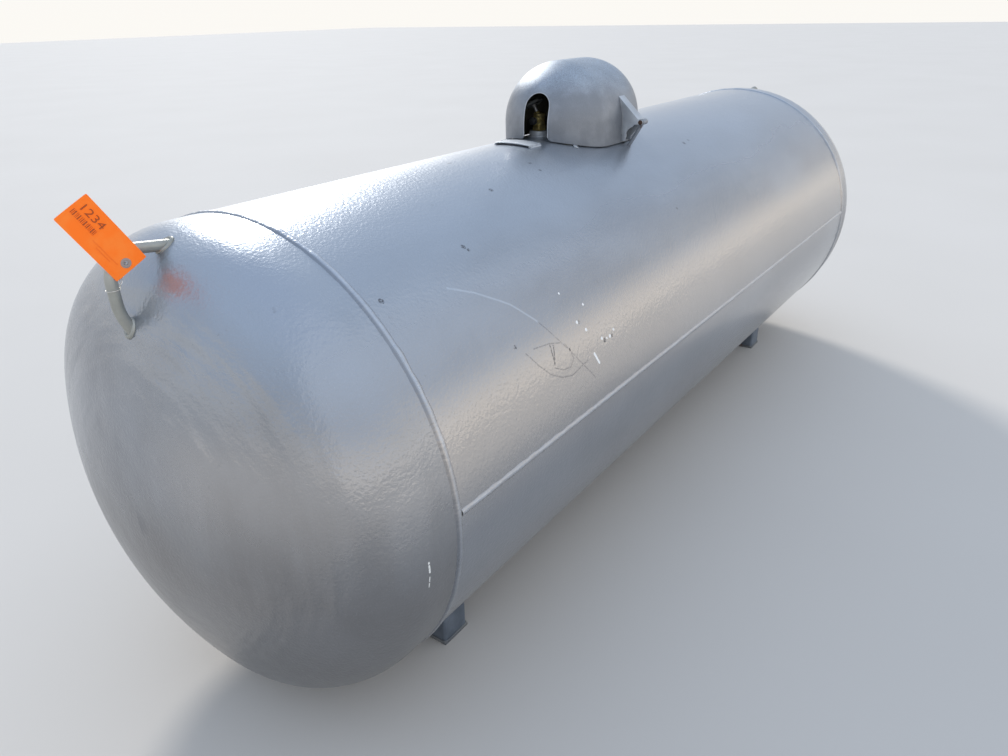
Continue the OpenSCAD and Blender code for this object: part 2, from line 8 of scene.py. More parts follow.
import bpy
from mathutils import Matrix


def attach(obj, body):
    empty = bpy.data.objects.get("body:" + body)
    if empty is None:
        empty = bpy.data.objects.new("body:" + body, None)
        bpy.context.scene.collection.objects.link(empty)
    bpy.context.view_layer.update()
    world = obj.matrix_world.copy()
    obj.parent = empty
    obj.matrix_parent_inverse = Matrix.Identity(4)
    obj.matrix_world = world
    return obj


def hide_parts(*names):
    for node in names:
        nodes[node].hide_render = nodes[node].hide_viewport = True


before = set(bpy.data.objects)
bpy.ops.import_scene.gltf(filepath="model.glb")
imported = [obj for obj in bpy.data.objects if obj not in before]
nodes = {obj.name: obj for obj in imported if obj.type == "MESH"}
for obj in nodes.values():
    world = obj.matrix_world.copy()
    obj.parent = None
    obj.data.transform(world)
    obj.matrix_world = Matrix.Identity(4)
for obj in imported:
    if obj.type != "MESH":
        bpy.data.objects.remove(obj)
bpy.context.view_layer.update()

# %% Libraries used below
import math
import random
from functools import reduce

import bmesh
import bpy
from mathutils import Matrix, Vector

# %% [markdown]
# ## The numbers of the drawing
# The tank is a cylinder that lies 45 mm above the floor. Its two heads are shallow dishes:
# a wide crown arc that meets a tight knuckle arc. The same few radii are repeated here,
# because the weld beads and the ring have to follow those surfaces.

# %% Tank sizes
TANK_R = 0.475
AXIS_Z = 0.520
HALF_SHELL = 1.2185
HEAD_FLANGE = 0.055
CROWN_R = 0.855
KNUCKLE_R = 0.164
KNUCKLE_C = TANK_R - KNUCKLE_R
DISH = CROWN_R - math.sqrt((CROWN_R - KNUCKLE_R) ** 2 - KNUCKLE_C ** 2)
JUNCTION_R = CROWN_R * KNUCKLE_C / (CROWN_R - KNUCKLE_R)
SEAM_ANGLE = 90 - 3.8


def head_reach(r):
    """Distance of the head's outer surface from its girth weld, at a distance r from the axis."""
    if r <= JUNCTION_R:
        return HEAD_FLANGE + math.sqrt(CROWN_R ** 2 - r ** 2) - CROWN_R + DISH
    return HEAD_FLANGE + math.sqrt(max(0, KNUCKLE_R ** 2 - (r - KNUCKLE_C) ** 2))


def on_shell(x, angle, lift=0):
    """A point on the shell: x along the tank, angle in degrees from the crown towards -Y."""
    a = math.radians(angle)
    r = TANK_R + lift
    return Vector((x, -r * math.sin(a), AXIS_Z + r * math.cos(a)))


def shell_height(y, lift=0):
    """Height of the shell's surface above its axis, at a distance y from the middle line."""
    return math.sqrt((TANK_R + lift) ** 2 - y * y)


print("head depth", round(head_reach(0), 4), "crown meets knuckle at", round(JUNCTION_R, 4))

# %% [markdown]
# ## Camera
# The camera stands where the photographer stood: near the ring end, a little above the tank,
# with a wide lens. The place and the turn were solved from points whose size is known.

# %% Camera
lens = bpy.data.cameras.new("camera")
lens.lens = 27.0357
lens.sensor_width = 36
camera = bpy.data.objects.new("camera", lens)
camera.location = (-1.99977, -1.14705, 1.30194)
camera.rotation_euler = [math.radians(a) for a in (64.11037, 1.18954, -54.30320)]
bpy.context.collection.objects.link(camera)
bpy.context.scene.camera = camera
bpy.context.scene.view_settings.view_transform = "Standard"
print("camera at", [round(v, 3) for v in camera.location])

# %% [markdown]
# ## Shader arithmetic
# A procedural finish is mostly arithmetic on masks: one minus a mask, a mask times a noise.
# Written as nodes that takes pages, so a small class wraps a socket and lets Python's own
# operators add the Math nodes. Colours never pass through them, because a Math node would
# turn them grey. Every other node comes from one method, which takes the node's type, its
# settings and what its sockets hold.

# %% A socket that Python can do sums with
class Lead:
    """The output of a shader node, with Python's operators."""

    def __init__(self, finish, socket):
        self.finish = finish
        self.socket = socket

    def out(self, name):
        """Another output of the same node."""
        return Lead(self.finish, self.socket.node.outputs[name])

    def math(self, operation, *values):
        return self.finish.node("Math", {"operation": operation}, dict(enumerate(values)))

    def __add__(self, other):
        return self.math("ADD", self, other)

    def __sub__(self, other):
        return self.math("SUBTRACT", self, other)

    def __rsub__(self, other):
        return self.math("SUBTRACT", other, self)

    def __mul__(self, other):
        return self.math("MULTIPLY", self, other)

    def __truediv__(self, other):
        return self.math("DIVIDE", self, other)

    __radd__ = __add__
    __rmul__ = __mul__

    def most(self, other):
        """The larger of the two."""
        return self.math("MAXIMUM", self, other)

    def least(self, other):
        """The smaller of the two."""
        return self.math("MINIMUM", self, other)

    def size(self):
        """The value without its sign."""
        return self.math("ABSOLUTE", self)

    def wave(self):
        """A sine wave from 0 to 1."""
        return self.math("SINE", self) * 0.5 + 0.5


# %% A finish that is being mixed
class Finish:
    """A material whose nodes are added by one method."""

    def __init__(self, name):
        self.material = bpy.data.materials.new(name)
        self.material.use_nodes = True
        self.tree = self.material.node_tree
        self.tree.nodes.clear()
        self.place = self.node("TexCoord", {}, {}).out("Object")

    def node(self, kind, settings, values):
        """Adds a node: its type, its settings, and the values or leads of its sockets."""
        made = self.tree.nodes.new("ShaderNode" + kind)
        for name, setting in settings.items():
            setattr(made, name, setting)
        for name, value in values.items():
            if isinstance(value, Lead):
                self.tree.links.new(value.socket, made.inputs[name])
            else:
                made.inputs[name].default_value = value
        shown = [socket for socket in made.outputs if socket.enabled]
        return Lead(self, shown[0]) if shown else made

    def vector(self, operation, *values):
        return self.node("VectorMath", {"operation": operation}, dict(enumerate(values)))

    def axes(self):
        """The three coordinates of the place on the object."""
        split = self.node("SeparateXYZ", {}, {0: self.place})
        return split.out("X"), split.out("Y"), split.out("Z")

    def noise(self, scale, detail=2.0, roughness=0.5, where=None):
        return self.node("TexNoise", {}, {"Vector": where or self.place, "Scale": scale,
                                          "Detail": detail, "Roughness": roughness})

    def stretched(self, x, y, z):
        """The place on the object, drawn out along its axes."""
        return self.node("Mapping", {}, {"Vector": self.place, "Scale": (x, y, z)})

    def step(self, value, low, high):
        """A soft step: 0 below low, 1 above high, or the reverse if low is the larger."""
        return self.node("MapRange", {"interpolation_type": "SMOOTHSTEP"},
                         {"Value": value, "From Min": low, "From Max": high})

    def tint(self, mask, first, second):
        """The first colour where the mask is 0, the second where it is 1."""
        colours = [c if isinstance(c, Lead) else (*c, 1) for c in (first, second)]
        return self.node("Mix", {"data_type": "RGBA"}, {0: mask, 6: colours[0], 7: colours[1]})

    def bump(self, height, depth, strength=1.0, over=None):
        """A bump whose height runs from 0 to 1 over a depth in metres, on top of another."""
        values = {"Height": height, "Distance": depth, "Strength": strength}
        if over is not None:
            values["Normal"] = over
        return self.node("Bump", {}, values)

    def stroke(self, points, width, soft):
        """A mask that is 1 along a line through points on the object."""
        gaps = []
        for a, b in zip(points, points[1:]):
            line = b - a
            off = self.vector("SUBTRACT", self.place, a)
            share = self.vector("DOT_PRODUCT", off, line) / line.length_squared
            share = self.node("Clamp", {}, {0: share})
            foot = self.node("VectorMath", {"operation": "SCALE"}, {0: line, "Scale": share})
            gaps.append(self.vector("DISTANCE", off, foot))
        return self.step(reduce(Lead.least, gaps), width / 2 + soft, width / 2)

    def spot(self, point, size, soft):
        """A mask that is 1 within a small distance of a point."""
        return self.step(self.vector("DISTANCE", self.place, point), size / 2 + soft, size / 2)

    def coat(self, colour, **values):
        """Closes the material with its shader."""
        values["Base Color"] = colour if isinstance(colour, Lead) else (*colour, 1)
        values = {name.replace("_", " "): value for name, value in values.items()}
        shader = self.node("BsdfPrincipled", {}, values)
        self.node("OutputMaterial", {}, {"Surface": shader})
        return self.material


def paint(red, green, blue):
    """A colour as it reads on screen, 0 to 255, in the linear light that shaders use."""
    return tuple(((c / 255 + 0.055) / 1.055) ** 2.4 if c > 10 else c / 3294.6
                 for c in (red, green, blue))


print("a mid grey in linear light:", [round(c, 3) for c in paint(128, 128, 128)])

# %% [markdown]
# ## Silver tank paint
# Aluminium paint is a grey that glints: half metal, half paint, with the fine pitting that a
# spray gun leaves, known as orange peel. Over it lies what years in a yard add: a chalky bloom
# on the crown, tinted pale blue as a painted skylight, faint runs down the side and dirt on the
# belly. A pale band on the side that faces -Y is a painted reflection of sunlit ground. The
# shell was rolled, so its plate waves gently; that only shows in reflections, which is why it
# is a bump and no geometry.

# %% Tank paint
SILVER_DARK, SILVER_LIGHT, METAL = paint(142, 144, 148), paint(156, 159, 164), 0.70


def silver(f, waves, over=None, marks=None, dust_top=0.36, dirt=paint(138, 132, 124),
           reflection_share=0.60):
    """Mixes the tank's paint, with its painted skylight and ground reflection, on top of the large
    waves of the plate.
    """
    x, y, z = f.axes()
    cloud = f.noise(3.2, 4, 0.55, f.stretched(0.45, 1, 1))
    run = f.noise(9, 3, 0.6, f.stretched(1.6, 1.6, 0.25))
    fine = f.noise(380, 1, 0.5)
    peel = f.noise(160, 1.5, 0.5) + fine * 0.35 + f.noise(44, 2, 0.55) * 0.6
    # A pale bluish crown: a chalky bloom, with a painted skylight on the top of the tank.
    bloom_and_skylight = f.step(z + cloud * 0.16, 0.84, 1.06)
    dust = f.step(z + run * 0.18, dust_top, dust_top - 0.26)
    # A pale band 0.47 to 0.80 m up on the side that faces -Y: a painted reflection of sunlit
    # ground.
    painted_ground_reflection = f.step(z, 0.47, 0.65) * f.step(z + cloud * 0.04, 0.80, 0.70) * f.step(y, 0, -0.2)
    base = f.tint(f.step(cloud, 0.35, 0.68), SILVER_DARK, SILVER_LIGHT)
    for mask, tone in ((f.step(run, 0.52, 0.75) * 0.12, paint(128, 130, 133)),
                       (bloom_and_skylight * 0.5, paint(172, 182, 194)),
                       (painted_ground_reflection * reflection_share, paint(212, 202, 191)),
                       (dust * 0.5, dirt),
                       (f.step(fine, 0.63, 0.70) * 0.08, paint(196, 200, 205)),
                       (f.step(f.noise(38, 5, 0.7), 0.66, 0.74) * 0.25, paint(112, 112, 112))):
        base = f.tint(mask, base, tone)
    gloss = 0.18 + cloud * 0.06 + bloom_and_skylight * 0.13 + dust * 0.14
    metal = METAL
    if marks:
        # For a weld bead the second value is its painted highlight; for the shell and head it is
        # wear.
        base, worn = marks(f, base)
        metal = METAL - worn * 0.6
        gloss = gloss + worn * 0.2
    surface = f.bump(peel, 0.0008, over=f.bump(waves, 1, over=over))
    return f.coat(base, Metallic=metal, Roughness=gloss, Normal=surface, Coat_Weight=0.2,
                  Coat_Roughness=0.10)


# %% [markdown]
# ## Marks on the shell
# The shell has been handled: a sling has left a long pale arc, somebody has tried a paint pen
# on it, and the coat has chips that show white primer. Each mark is a line or a spot on the
# curved surface, given as a distance along the tank and an angle from the crown; the shader
# measures how near it is, so the mark lies exactly in the paint.

# %% Marks on the shell
def shell_line(f, width, soft, *places):
    """A stroke through places on the shell."""
    return f.stroke([on_shell(x, angle) for x, angle in places], width, soft)


def shell_spots(f, unit, soft, *places):
    """Spots on the shell, each with a size in units."""
    return reduce(Lead.most, [f.spot(on_shell(x, angle), size * unit, soft)
                              for x, angle, size in places])


def shell_marks(f, base):
    """Adds the scuffs, pen strokes and chips, and tells where the paint is worn."""
    rough = f.noise(300, 2, 0.6)
    arc = shell_line(f, 0.0022, 0.0018, (-1.04, 43), (-0.988, 46.5), (-0.924, 52.2),
                     (-0.876, 58.7))
    thin = reduce(Lead.most, (
        shell_line(f, 0.0012, 0.0016, (-0.876, 58.7), (-0.835, 65.6), (-0.786, 73.4),
                   (-0.749, 78.6)),
        shell_line(f, 0.0012, 0.0016, (-0.946, 63.6), (-0.923, 67.6), (-0.897, 70.9),
                   (-0.862, 73.3), (-0.828, 74.3), (-0.799, 73.8), (-0.765, 73.3)),
        shell_line(f, 0.001, 0.0016, (-0.879, 70.1), (-0.853, 71.8), (-0.828, 72.2),
                   (-0.812, 70.9), (-0.814, 68.8), (-0.825, 66.5)),
        shell_line(f, 0.001, 0.0016, (-0.92, 63.6), (-0.872, 64.4), (-0.839, 65.6))))
    pen = shell_line(f, 0.0022, 0.0014, (-0.871, 64.5), (-0.873, 66.9), (-0.876, 69.5),
                     (-0.864, 66.3), (-0.862, 65.3))
    dash = shell_line(f, 0.005, 0.0008, (-0.737, 72.8), (-0.726, 75.7))
    chips = shell_spots(f, 0.0008, 0.0008, (-0.776, 55.2, 5), (-0.719, 60.4, 6),
                        (-0.762, 63.5, 8), (-0.741, 66.3, 8), (-0.696, 70.5, 8),
                        (-0.677, 71.2, 5), (-0.664, 71.2, 9), (-0.644, 70.2, 7))
    dots = shell_spots(f, 0.001, 0.002, (-0.967, 61.1, 7), (-0.688, 71.3, 8), (-0.755, 63.7, 5),
                       (-0.656, 71.4, 6), (-0.815, 68.3, 4), (-0.931, 35.4, 9),
                       (-0.925, 36.6, 6), (-1.183, 40.0, 9), (-0.708, 21.8, 10),
                       (0.184, 28.0, 12), (0.225, 27.3, 7), (-0.486, 15.4, 7),
                       (-0.497, 19.9, 6), (-0.653, 2.3, 9), (-0.149, 49.1, 5))
    white = chips.most(dash)
    for mask, tone in ((arc * 0.38, paint(196, 204, 212)),
                       (thin * f.step(rough, 0.30, 0.55) * 0.5, paint(92, 92, 98)),
                       (pen * 0.7 * f.step(rough, 0.34, 0.5), paint(62, 64, 72)),
                       (dots * f.step(rough, 0.40, 0.52) * 0.8, paint(62, 62, 66)),
                       (white, paint(244, 244, 242))):
        base = f.tint(mask, base, tone)
    return base, white


f = Finish("shell_silver")
shell_silver = silver(f, f.noise(4, 2, 0.45, f.stretched(0.3, 1, 1)) * 0.006, marks=shell_marks)
print("shell paint:", len(f.tree.nodes), "nodes")

# %% [markdown]
# ## Pressed heads
# A head is pressed cold from a flat disc. The rim has to shrink, and it does so in long shallow
# ripples that run round the knuckle. The ripple is a noise on the radius and on the direction
# from the axis, drawn out round the head; taking the direction as a unit vector, and not as an
# angle, leaves no seam where a full turn closes.

# %% Head paint
RIPPLE_DEPTH = 0.011
# Heads: dirt lower down, and a weaker painted reflection of sunlit ground on the -Y side.
HEAD_DIRT_AND_REFLECTION = {"dust_top": 0.78, "dirt": paint(112, 106, 100), "reflection_share": 0.25}


def press_ripples(f, seed):
    """Shallow waves round the head, strongest at the knuckle."""
    x, y, z = f.axes()
    radial = f.node("CombineXYZ", {}, {"Y": y, "Z": z - AXIS_Z})
    radius = f.vector("LENGTH", radial)
    spread = f.node("CombineXYZ", {}, {"X": radius * 11 + seed})
    where = f.vector("ADD", f.vector("NORMALIZE", radial), spread)
    ripples = f.noise(1.5, 2, 0.5, where) * f.step(radius, 0.05, 0.30)
    return ripples * RIPPLE_DEPTH + f.noise(5, 2, 0.5) * 0.007


def head_drips(f, base):
    """Two white drips beside the near girth weld."""
    drips = shell_line(f, 0.004, 0.0008, (-1.297, 91.6), (-1.2955, 94.2))
    drips = drips.most(shell_line(f, 0.003, 0.0008, (-1.2955, 95.4), (-1.2965, 98)))
    chip = drips * f.step(f.noise(260, 2, 0.6), 0.36, 0.44)
    return f.tint(chip, base, paint(240, 240, 236)), chip


f = Finish("near_head_silver")
near_head_silver = silver(f, press_ripples(f, 3.7), marks=head_drips, **HEAD_DIRT_AND_REFLECTION)
f = Finish("far_head_silver")
far_head_silver = silver(f, press_ripples(f, 9.2), **HEAD_DIRT_AND_REFLECTION)
print("head paint: ripples of up to", RIPPLE_DEPTH * 1000, "mm in the shading")

# %% [markdown]
# ## Paint over a weld
# A weld is a row of overlapping crescents, softened here by the paint. The crescents are a sine
# wave along the weld, pushed about by a noise so that no two are alike. The back of a bead carries
# a painted highlight, and a painted shade lies along the side that faces down or away.

# %% Weld paint
def weld_silver(f, along, off, depth, strength, pale=1.0):
    """Paint of a bead: off is the distance from its middle towards its side with painted shade."""
    crescents = (along + f.noise(40, 3, 0.6) * 9).wave()

    def tones(f, base):
        highlight_breakup = f.step(f.noise(24, 4, 0.65), 0.30, 0.72)
        # The back of the bead: a painted highlight, broken up by a noise and scaled by pale.
        back = f.step((off + 0.001).size(), 0.0050, 0.0012) * (0.25 + highlight_breakup * 0.55) * pale
        # The side that faces down or away: a painted shade.
        base = f.tint(f.step(off, 0.0024, 0.0056) * 0.5, base, paint(100, 103, 110))
        return f.tint(back * 0.7, base, paint(196, 203, 213)), back * 0.35

    return silver(f, f.noise(30, 2, 0.5) * 0.002, f.bump(crescents, depth, strength), tones)


f = Finish("girth_silver")
x, y, z = f.axes()
turn = y.math("ARCTAN2", y, z - AXIS_Z)
# The girth bead's painted highlight grows stronger towards the top of the tank.
girth_silver = weld_silver(f, turn * 420, x.size() - HALF_SHELL, 0.0002, 0.3,
                           0.40 + f.step(z, 0.38, 0.82) * 0.60)
f = Finish("seam_silver")
x, y, z = f.axes()
seam_silver = weld_silver(f, x * 800, on_shell(0, SEAM_ANGLE).z - z, 0.0003, 0.4)
print("weld paint:", girth_silver.name, seam_silver.name)

# %% [markdown]
# ## Rough paint on the ring, the legs and the hood
# The small steelwork was painted by hand, over mill scale, in a darker and duller coat. Its
# surface is uneven at the scale of a fingertip, and rust shows wherever the coat is thin. The
# hood's crown has caught a second, dry coat of spray, which left it as coarse as sandpaper.

# %% Steelwork paint
def steelwork(name, dark, light, rust_share, gloss, grain=160, depth=0.0006, metal=0.35,
              crown=None, inside=None):
    """A rough coat with rust; crown is the height above which a dry spray lies on it."""
    f = Finish(name)
    dark, light = paint(*dark), paint(*light)
    cloud = f.noise(14, 4, 0.6)
    grit = f.noise(grain, 3, 0.6)
    patch = f.noise(34, 5, 0.65)
    rust = f.step(patch, 1 - rust_share, 1.05 - rust_share)
    base = f.tint(f.step(cloud, 0.34, 0.66), dark, light)
    base = f.tint(f.step(grit, 0.56, 0.72) * 0.35, base, light)
    height = grit + patch * 0.5
    if crown:
        dry = f.step(f.axes()[2] + cloud * 0.05, crown, crown + 0.07)
        crumb = f.noise(380, 3, 0.75)
        base = f.tint(dry * f.step(crumb, 0.30, 0.70) * 0.65, base, paint(182, 198, 214))
        height = height + crumb * dry * 1.6
    base = f.tint(rust, base, f.tint(grit, paint(66, 46, 36), paint(108, 74, 52)))
    if inside:
        base = f.tint(inside(f), base, f.tint(cloud, paint(102, 99, 80), paint(126, 122, 102)))
    return f.coat(base, Metallic=metal - rust * metal, Roughness=gloss + grit * 0.15 + rust * 0.3,
                  Normal=f.bump(height, depth))


HOOD_X, HOOD_R, HOOD_STRAIGHT, SPRING_Z = -0.084, 0.154, 0.058, AXIS_Z + 0.5075


def hood_lining(f):
    """A mask of the hood's inner face, which never got the silver coat."""
    x, y, z = f.axes()
    along = ((x - HOOD_X).size() - HOOD_STRAIGHT).most(0)
    reach = f.vector("LENGTH", f.node("CombineXYZ", {}, {"X": along, "Y": y,
                                                         "Z": (z - SPRING_Z).most(0)}))
    return f.step(reach, HOOD_R - 0.0014, HOOD_R - 0.0022)


leg_blue = steelwork("leg_blue", (92, 101, 112), (114, 123, 134), 0.28, 0.40)
foot_grey = steelwork("foot_grey", (98, 102, 106), (126, 128, 128), 0.36, 0.5)
ring_grey = steelwork("ring_grey", (150, 150, 142), (172, 172, 165), 0.24, 0.30, 220, 0.0004, 0.5)
hood_grey = steelwork("hood_grey", (130, 133, 138), (146, 149, 154), 0.20, 0.34, 300, 0.0006, 0.55,
                      crown=1.11, inside=hood_lining)
strap_silver = steelwork("strap_silver", (168, 172, 176), (188, 192, 196), 0.24, 0.34)
worn_steel = steelwork("worn_steel", (122, 124, 126), (156, 158, 159), 0.40, 0.38)
boss_silver = steelwork("boss_silver", (160, 164, 168), (186, 190, 193), 0.26, 0.36)
rusted = steelwork("rusted", (50, 38, 33), (78, 56, 44), 0.45, 0.72, metal=0.2)
print("steelwork paint:", [m.name for m in (leg_blue, foot_grey, ring_grey, hood_grey)])

# %% [markdown]
# ## Brass, rubber and moulded plastic
# The fittings under the hood are forged brass that has dulled to brown in the corners, with
# rubber and plastic caps. All are small, so one noise each for tarnish and for grain is enough.

# %% Small part finishes
def metal_fitting(name, bright, dull):
    f = Finish(name)
    tarnish = f.step(f.noise(70, 4, 0.6), 0.36, 0.66)
    return f.coat(f.tint(tarnish, paint(*bright), paint(*dull)), Metallic=0.9 - tarnish * 0.25,
                  Roughness=0.28 + tarnish * 0.22, Normal=f.bump(f.noise(700, 2, 0.5), 0.0001))


def moulded(name, colour, faded, gloss, grain=500, depth=0.00015, **more):
    f = Finish(name)
    fade = f.step(f.noise(45, 3, 0.6), 0.34, 0.7)
    skin = f.noise(grain, 2, 0.5)
    return f.coat(f.tint(fade, paint(*colour), paint(*faded)), Roughness=gloss + skin * 0.12,
                  Normal=f.bump(skin, depth), **more)


brass = metal_fitting("brass", (178, 160, 102), (116, 104, 66))
bright_steel = metal_fitting("bright_steel", (196, 196, 194), (150, 148, 146))
wire_pale = metal_fitting("wire_pale", (232, 228, 218), (190, 186, 178))
wheel_grey = moulded("wheel_grey", (70, 73, 72), (92, 94, 92), 0.45)
cap_black = moulded("cap_black", (38, 39, 40), (58, 58, 57), 0.55)
plug_black = moulded("plug_black", (30, 31, 32), (50, 50, 50), 0.4)
dial_white = moulded("dial_white", (214, 214, 206), (196, 194, 184), 0.3)
dial_ink = moulded("dial_ink", (34, 34, 36), (52, 52, 52), 0.4)
# The tag's emission is a painted glow that stands in for its fluorescent orange.
tag_orange = moulded("tag_orange", (255, 126, 30), (252, 136, 46), 0.42, 260, 0.00006,
                     Emission_Color=(1, 0.08, 0, 1), Emission_Strength=0.18,
                     Specular_IOR_Level=0.3)
tag_ink = moulded("tag_ink", (176, 80, 20), (198, 94, 28), 0.5, 700)
eyelet_grey = moulded("eyelet_grey", (186, 168, 160), (160, 146, 140), 0.35)
print("small parts:", [m.name for m in (brass, wheel_grey, cap_black, tag_orange)])

# %% [markdown]
# ## Paint on the solids
# The frame's solids keep their shapes. Each gets its finish through its material slots; some
# of them are replaced further down by a piece with more detail.

# %% Finish of every solid
finish_of = {
    shell_silver: "shell",
    near_head_silver: "near_head",
    far_head_silver: "far_head",
    girth_silver: "near_girth_weld far_girth_weld",
    seam_silver: "long_seam_weld",
    ring_grey: "near_lifting_ring far_lifting_ring",
    leg_blue: "leg_front_near leg_front_far leg_back_near leg_back_far",
    foot_grey: "foot_front_near foot_front_far foot_back_near foot_back_far",
    hood_grey: "hood hinge_bracket",
    # The hinge box takes the paler strap paint: painted light on its shaded side.
    strap_silver: "crown_strap rest_lugs hinge_box",
    worn_steel: "float_gauge",
    boss_silver: "fitting_bosses",
    rusted: "hinge_pin",
    brass: "service_valve service_spindle relief_valve fill_valve fill_cap vapour_valve vapour_cap",
    wheel_grey: "service_handwheel",
    cap_black: "relief_cap",
    plug_black: "outlet_plug",
    dial_white: "gauge_dial",
    tag_orange: "lot_tag",
    eyelet_grey: "tag_eyelet",
    wire_pale: "tag_wire",
}
for material, names in finish_of.items():
    for name in names.split():
        for slot in nodes[name].material_slots:
            slot.material = material
print("painted", sum(len(names.split()) for names in finish_of.values()), "of", len(nodes), "nodes")

# %% [markdown]
# ## Turning a bmesh into a piece
# Every new piece ends the same way: doubles are merged, the normals are turned outwards, the
# mesh becomes an object at the origin, the piece is told which body it rides on, and the
# solids of the frame that it stands for are hidden.

# %% Closing a piece
MERGE = 0.000005


def settle(name, bm, material, slot, *replaced, body="tank", sharp=35):
    """Closes a bmesh as a named piece that rides on a body."""
    bmesh.ops.remove_doubles(bm, verts=bm.verts, dist=MERGE)
    bmesh.ops.recalc_face_normals(bm, faces=bm.faces)
    mesh = bpy.data.meshes.new(name)
    bm.to_mesh(mesh)
    bm.free()
    mesh.shade_smooth()
    mesh.set_sharp_from_angle(angle=math.radians(sharp))
    mesh.materials.append(material)
    piece = bpy.data.objects.new(name, mesh)
    bpy.context.collection.objects.link(piece)
    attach(piece, body)
    if replaced:
        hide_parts(*replaced)


def add(bm, part, place):
    """Adds a small bmesh to a larger one, moved to its place."""
    bmesh.ops.recalc_face_normals(part, faces=part.faces)
    part.transform(place)
    mesh = bpy.data.meshes.new("part")
    part.to_mesh(mesh)
    part.free()
    bm.from_mesh(mesh)
    bpy.data.meshes.remove(mesh)


def soften(part, geometry, width, segments=2, affect="EDGES"):
    """Rounds edges or corners."""
    bmesh.ops.bevel(part, geom=geometry, offset=width, offset_type="OFFSET", segments=segments,
                    profile=0.5, affect=affect, clamp_overlap=True, material=-1)


print("helpers: settle, add, soften")

# %% [markdown]
# ## Turned and cut shapes
# Valves, caps and bolts are turned on a lathe or cut from hexagon bar. A turned part is a
# profile that is spun round an axis; a hexagon is a cone of six sides with equal ends. Both
# lose their knife edges, since a real edge always catches a line of light.

# %% Lathe, prism and block
def shift(x, y, z):
    return Matrix.Translation((x, y, z))


def spun(angle, axis):
    """A turn by an angle in degrees about an axis."""
    return Matrix.Rotation(math.radians(angle), 4, axis)


def revolve(part, steps):
    """Spins what a part holds through a full turn round the Z axis."""
    bmesh.ops.spin(part, geom=part.verts[:] + part.edges[:], cent=(0, 0, 0), axis=(0, 0, 1),
                   dvec=(0, 0, 0), angle=math.tau, steps=steps, use_merge=True)


def lathe(bm, profile, place, steps=40):
    """Spins a profile of (radius, height) pairs, in mm, round the Z axis of a place."""
    part = bmesh.new()
    line = [part.verts.new((r / 1000, 0, h / 1000)) for r, h in profile]
    for a, b in zip(line, line[1:]):
        part.edges.new((a, b))
    revolve(part, steps)
    bmesh.ops.remove_doubles(part, verts=part.verts, dist=MERGE)
    add(bm, part, place)


def bar(radius, low, high, sides):
    """A straight bar between two heights, in mm, along the Z axis."""
    part = bmesh.new()
    bmesh.ops.create_cone(part, cap_ends=True, segments=sides, radius1=radius / 1000,
                          radius2=radius / 1000, depth=(high - low) / 1000,
                          matrix=shift(0, 0, (low + high) / 2000))
    return part


def prism(bm, radius, low, high, edge, place):
    """Hexagon bar with softened edges."""
    part = bar(radius, low, high, 6)
    soften(part, part.edges[:], edge / 1000)
    add(bm, part, place)


def block(bm, size, place, edge):
    """A block of a size in mm, centred on a place."""
    part = bmesh.new()
    bmesh.ops.create_cube(part, size=0.001)
    bmesh.ops.scale(part, verts=part.verts, vec=size)
    soften(part, part.edges[:], edge / 1000)
    add(bm, part, place)


def rib(part, count, share):
    """Pulls the side of a round part in between its ribs, by a share of its radius."""
    for v in part.verts:
        turn = count * math.atan2(v.co.y, v.co.x)
        pull = 1 - share * (0.5 - 0.5 * math.cos(turn))
        v.co.x *= pull
        v.co.y *= pull


def knurl(bm, radius, low, high, ribs, depth, place):
    """A grip: a cylinder whose side is pulled into ribs, with rounded ends."""
    part = bar(radius, low, high, ribs * 4)
    rims = [e for e in part.edges if abs(e.verts[0].co.z - e.verts[1].co.z) < 1e-7]
    soften(part, rims, 0.0012)
    rib(part, ribs, depth / radius)
    add(bm, part, place)


print("helpers: lathe, bar, prism, block, rib, knurl")

# %% [markdown]
# ## Weld beads
# A fillet weld is a bead with a slightly uneven thickness. It is made as a curve with a round
# section, carried along the joint; each point of the curve has its own radius, which swells at
# every crescent and wanders a little in between. The wandering comes from a seeded generator,
# so that every run gives the same bead.

# %% Tubes and beads
def resample(points, gap, closed=False):
    """Points at an even spacing along a line."""
    line = [Vector(p) for p in points] + ([Vector(points[0])] if closed else [])
    lengths = [(b - a).length for a, b in zip(line, line[1:])]
    total = sum(lengths)
    count = max(8, round(total / gap))
    placed, k, passed = [], 0, 0
    for i in range(count if closed else count + 1):
        want = total * i / count
        while k < len(lengths) - 1 and passed + lengths[k] < want:
            passed += lengths[k]
            k += 1
        placed.append(line[k].lerp(line[k + 1], min(1, (want - passed) / lengths[k])))
    return placed


def take_curve(bm, curve):
    """Adds a curve's mesh to a bmesh, and removes the curve."""
    holder = bpy.data.objects.new("curve", curve)
    mesh = bpy.data.meshes.new_from_object(holder)
    bm.from_mesh(mesh)
    bpy.data.objects.remove(holder)
    bpy.data.curves.remove(curve)
    bpy.data.meshes.remove(mesh)


def tube(bm, points, radius, closed=False, swells=None, rounds=3):
    """A round section carried along points."""
    curve = bpy.data.curves.new("path", "CURVE")
    curve.dimensions = "3D"
    curve.bevel_depth = radius
    curve.bevel_resolution = rounds
    curve.use_fill_caps = not closed
    spline = curve.splines.new("POLY")
    spline.points.add(len(points) - 1)
    spline.use_cyclic_u = closed
    for i, (point, p) in enumerate(zip(points, spline.points)):
        p.co = (*point, 1)
        p.radius = swells[i] if swells else 1
    take_curve(bm, curve)


def bead(bm, points, radius, seed, closed=False, swell=0.10, pitch=0.005):
    """A weld bead along a joint."""
    chance = random.Random(seed)
    line = resample(points, pitch / 2, closed)
    swells, drift = [], 0
    for i in range(len(line)):
        drift = 0.8 * drift + chance.uniform(-0.5, 0.5) * swell
        swells.append(1 + swell * math.cos(math.pi * i) + drift)
    tube(bm, line, radius, closed, swells)


print("helpers: resample, take_curve, tube, bead")

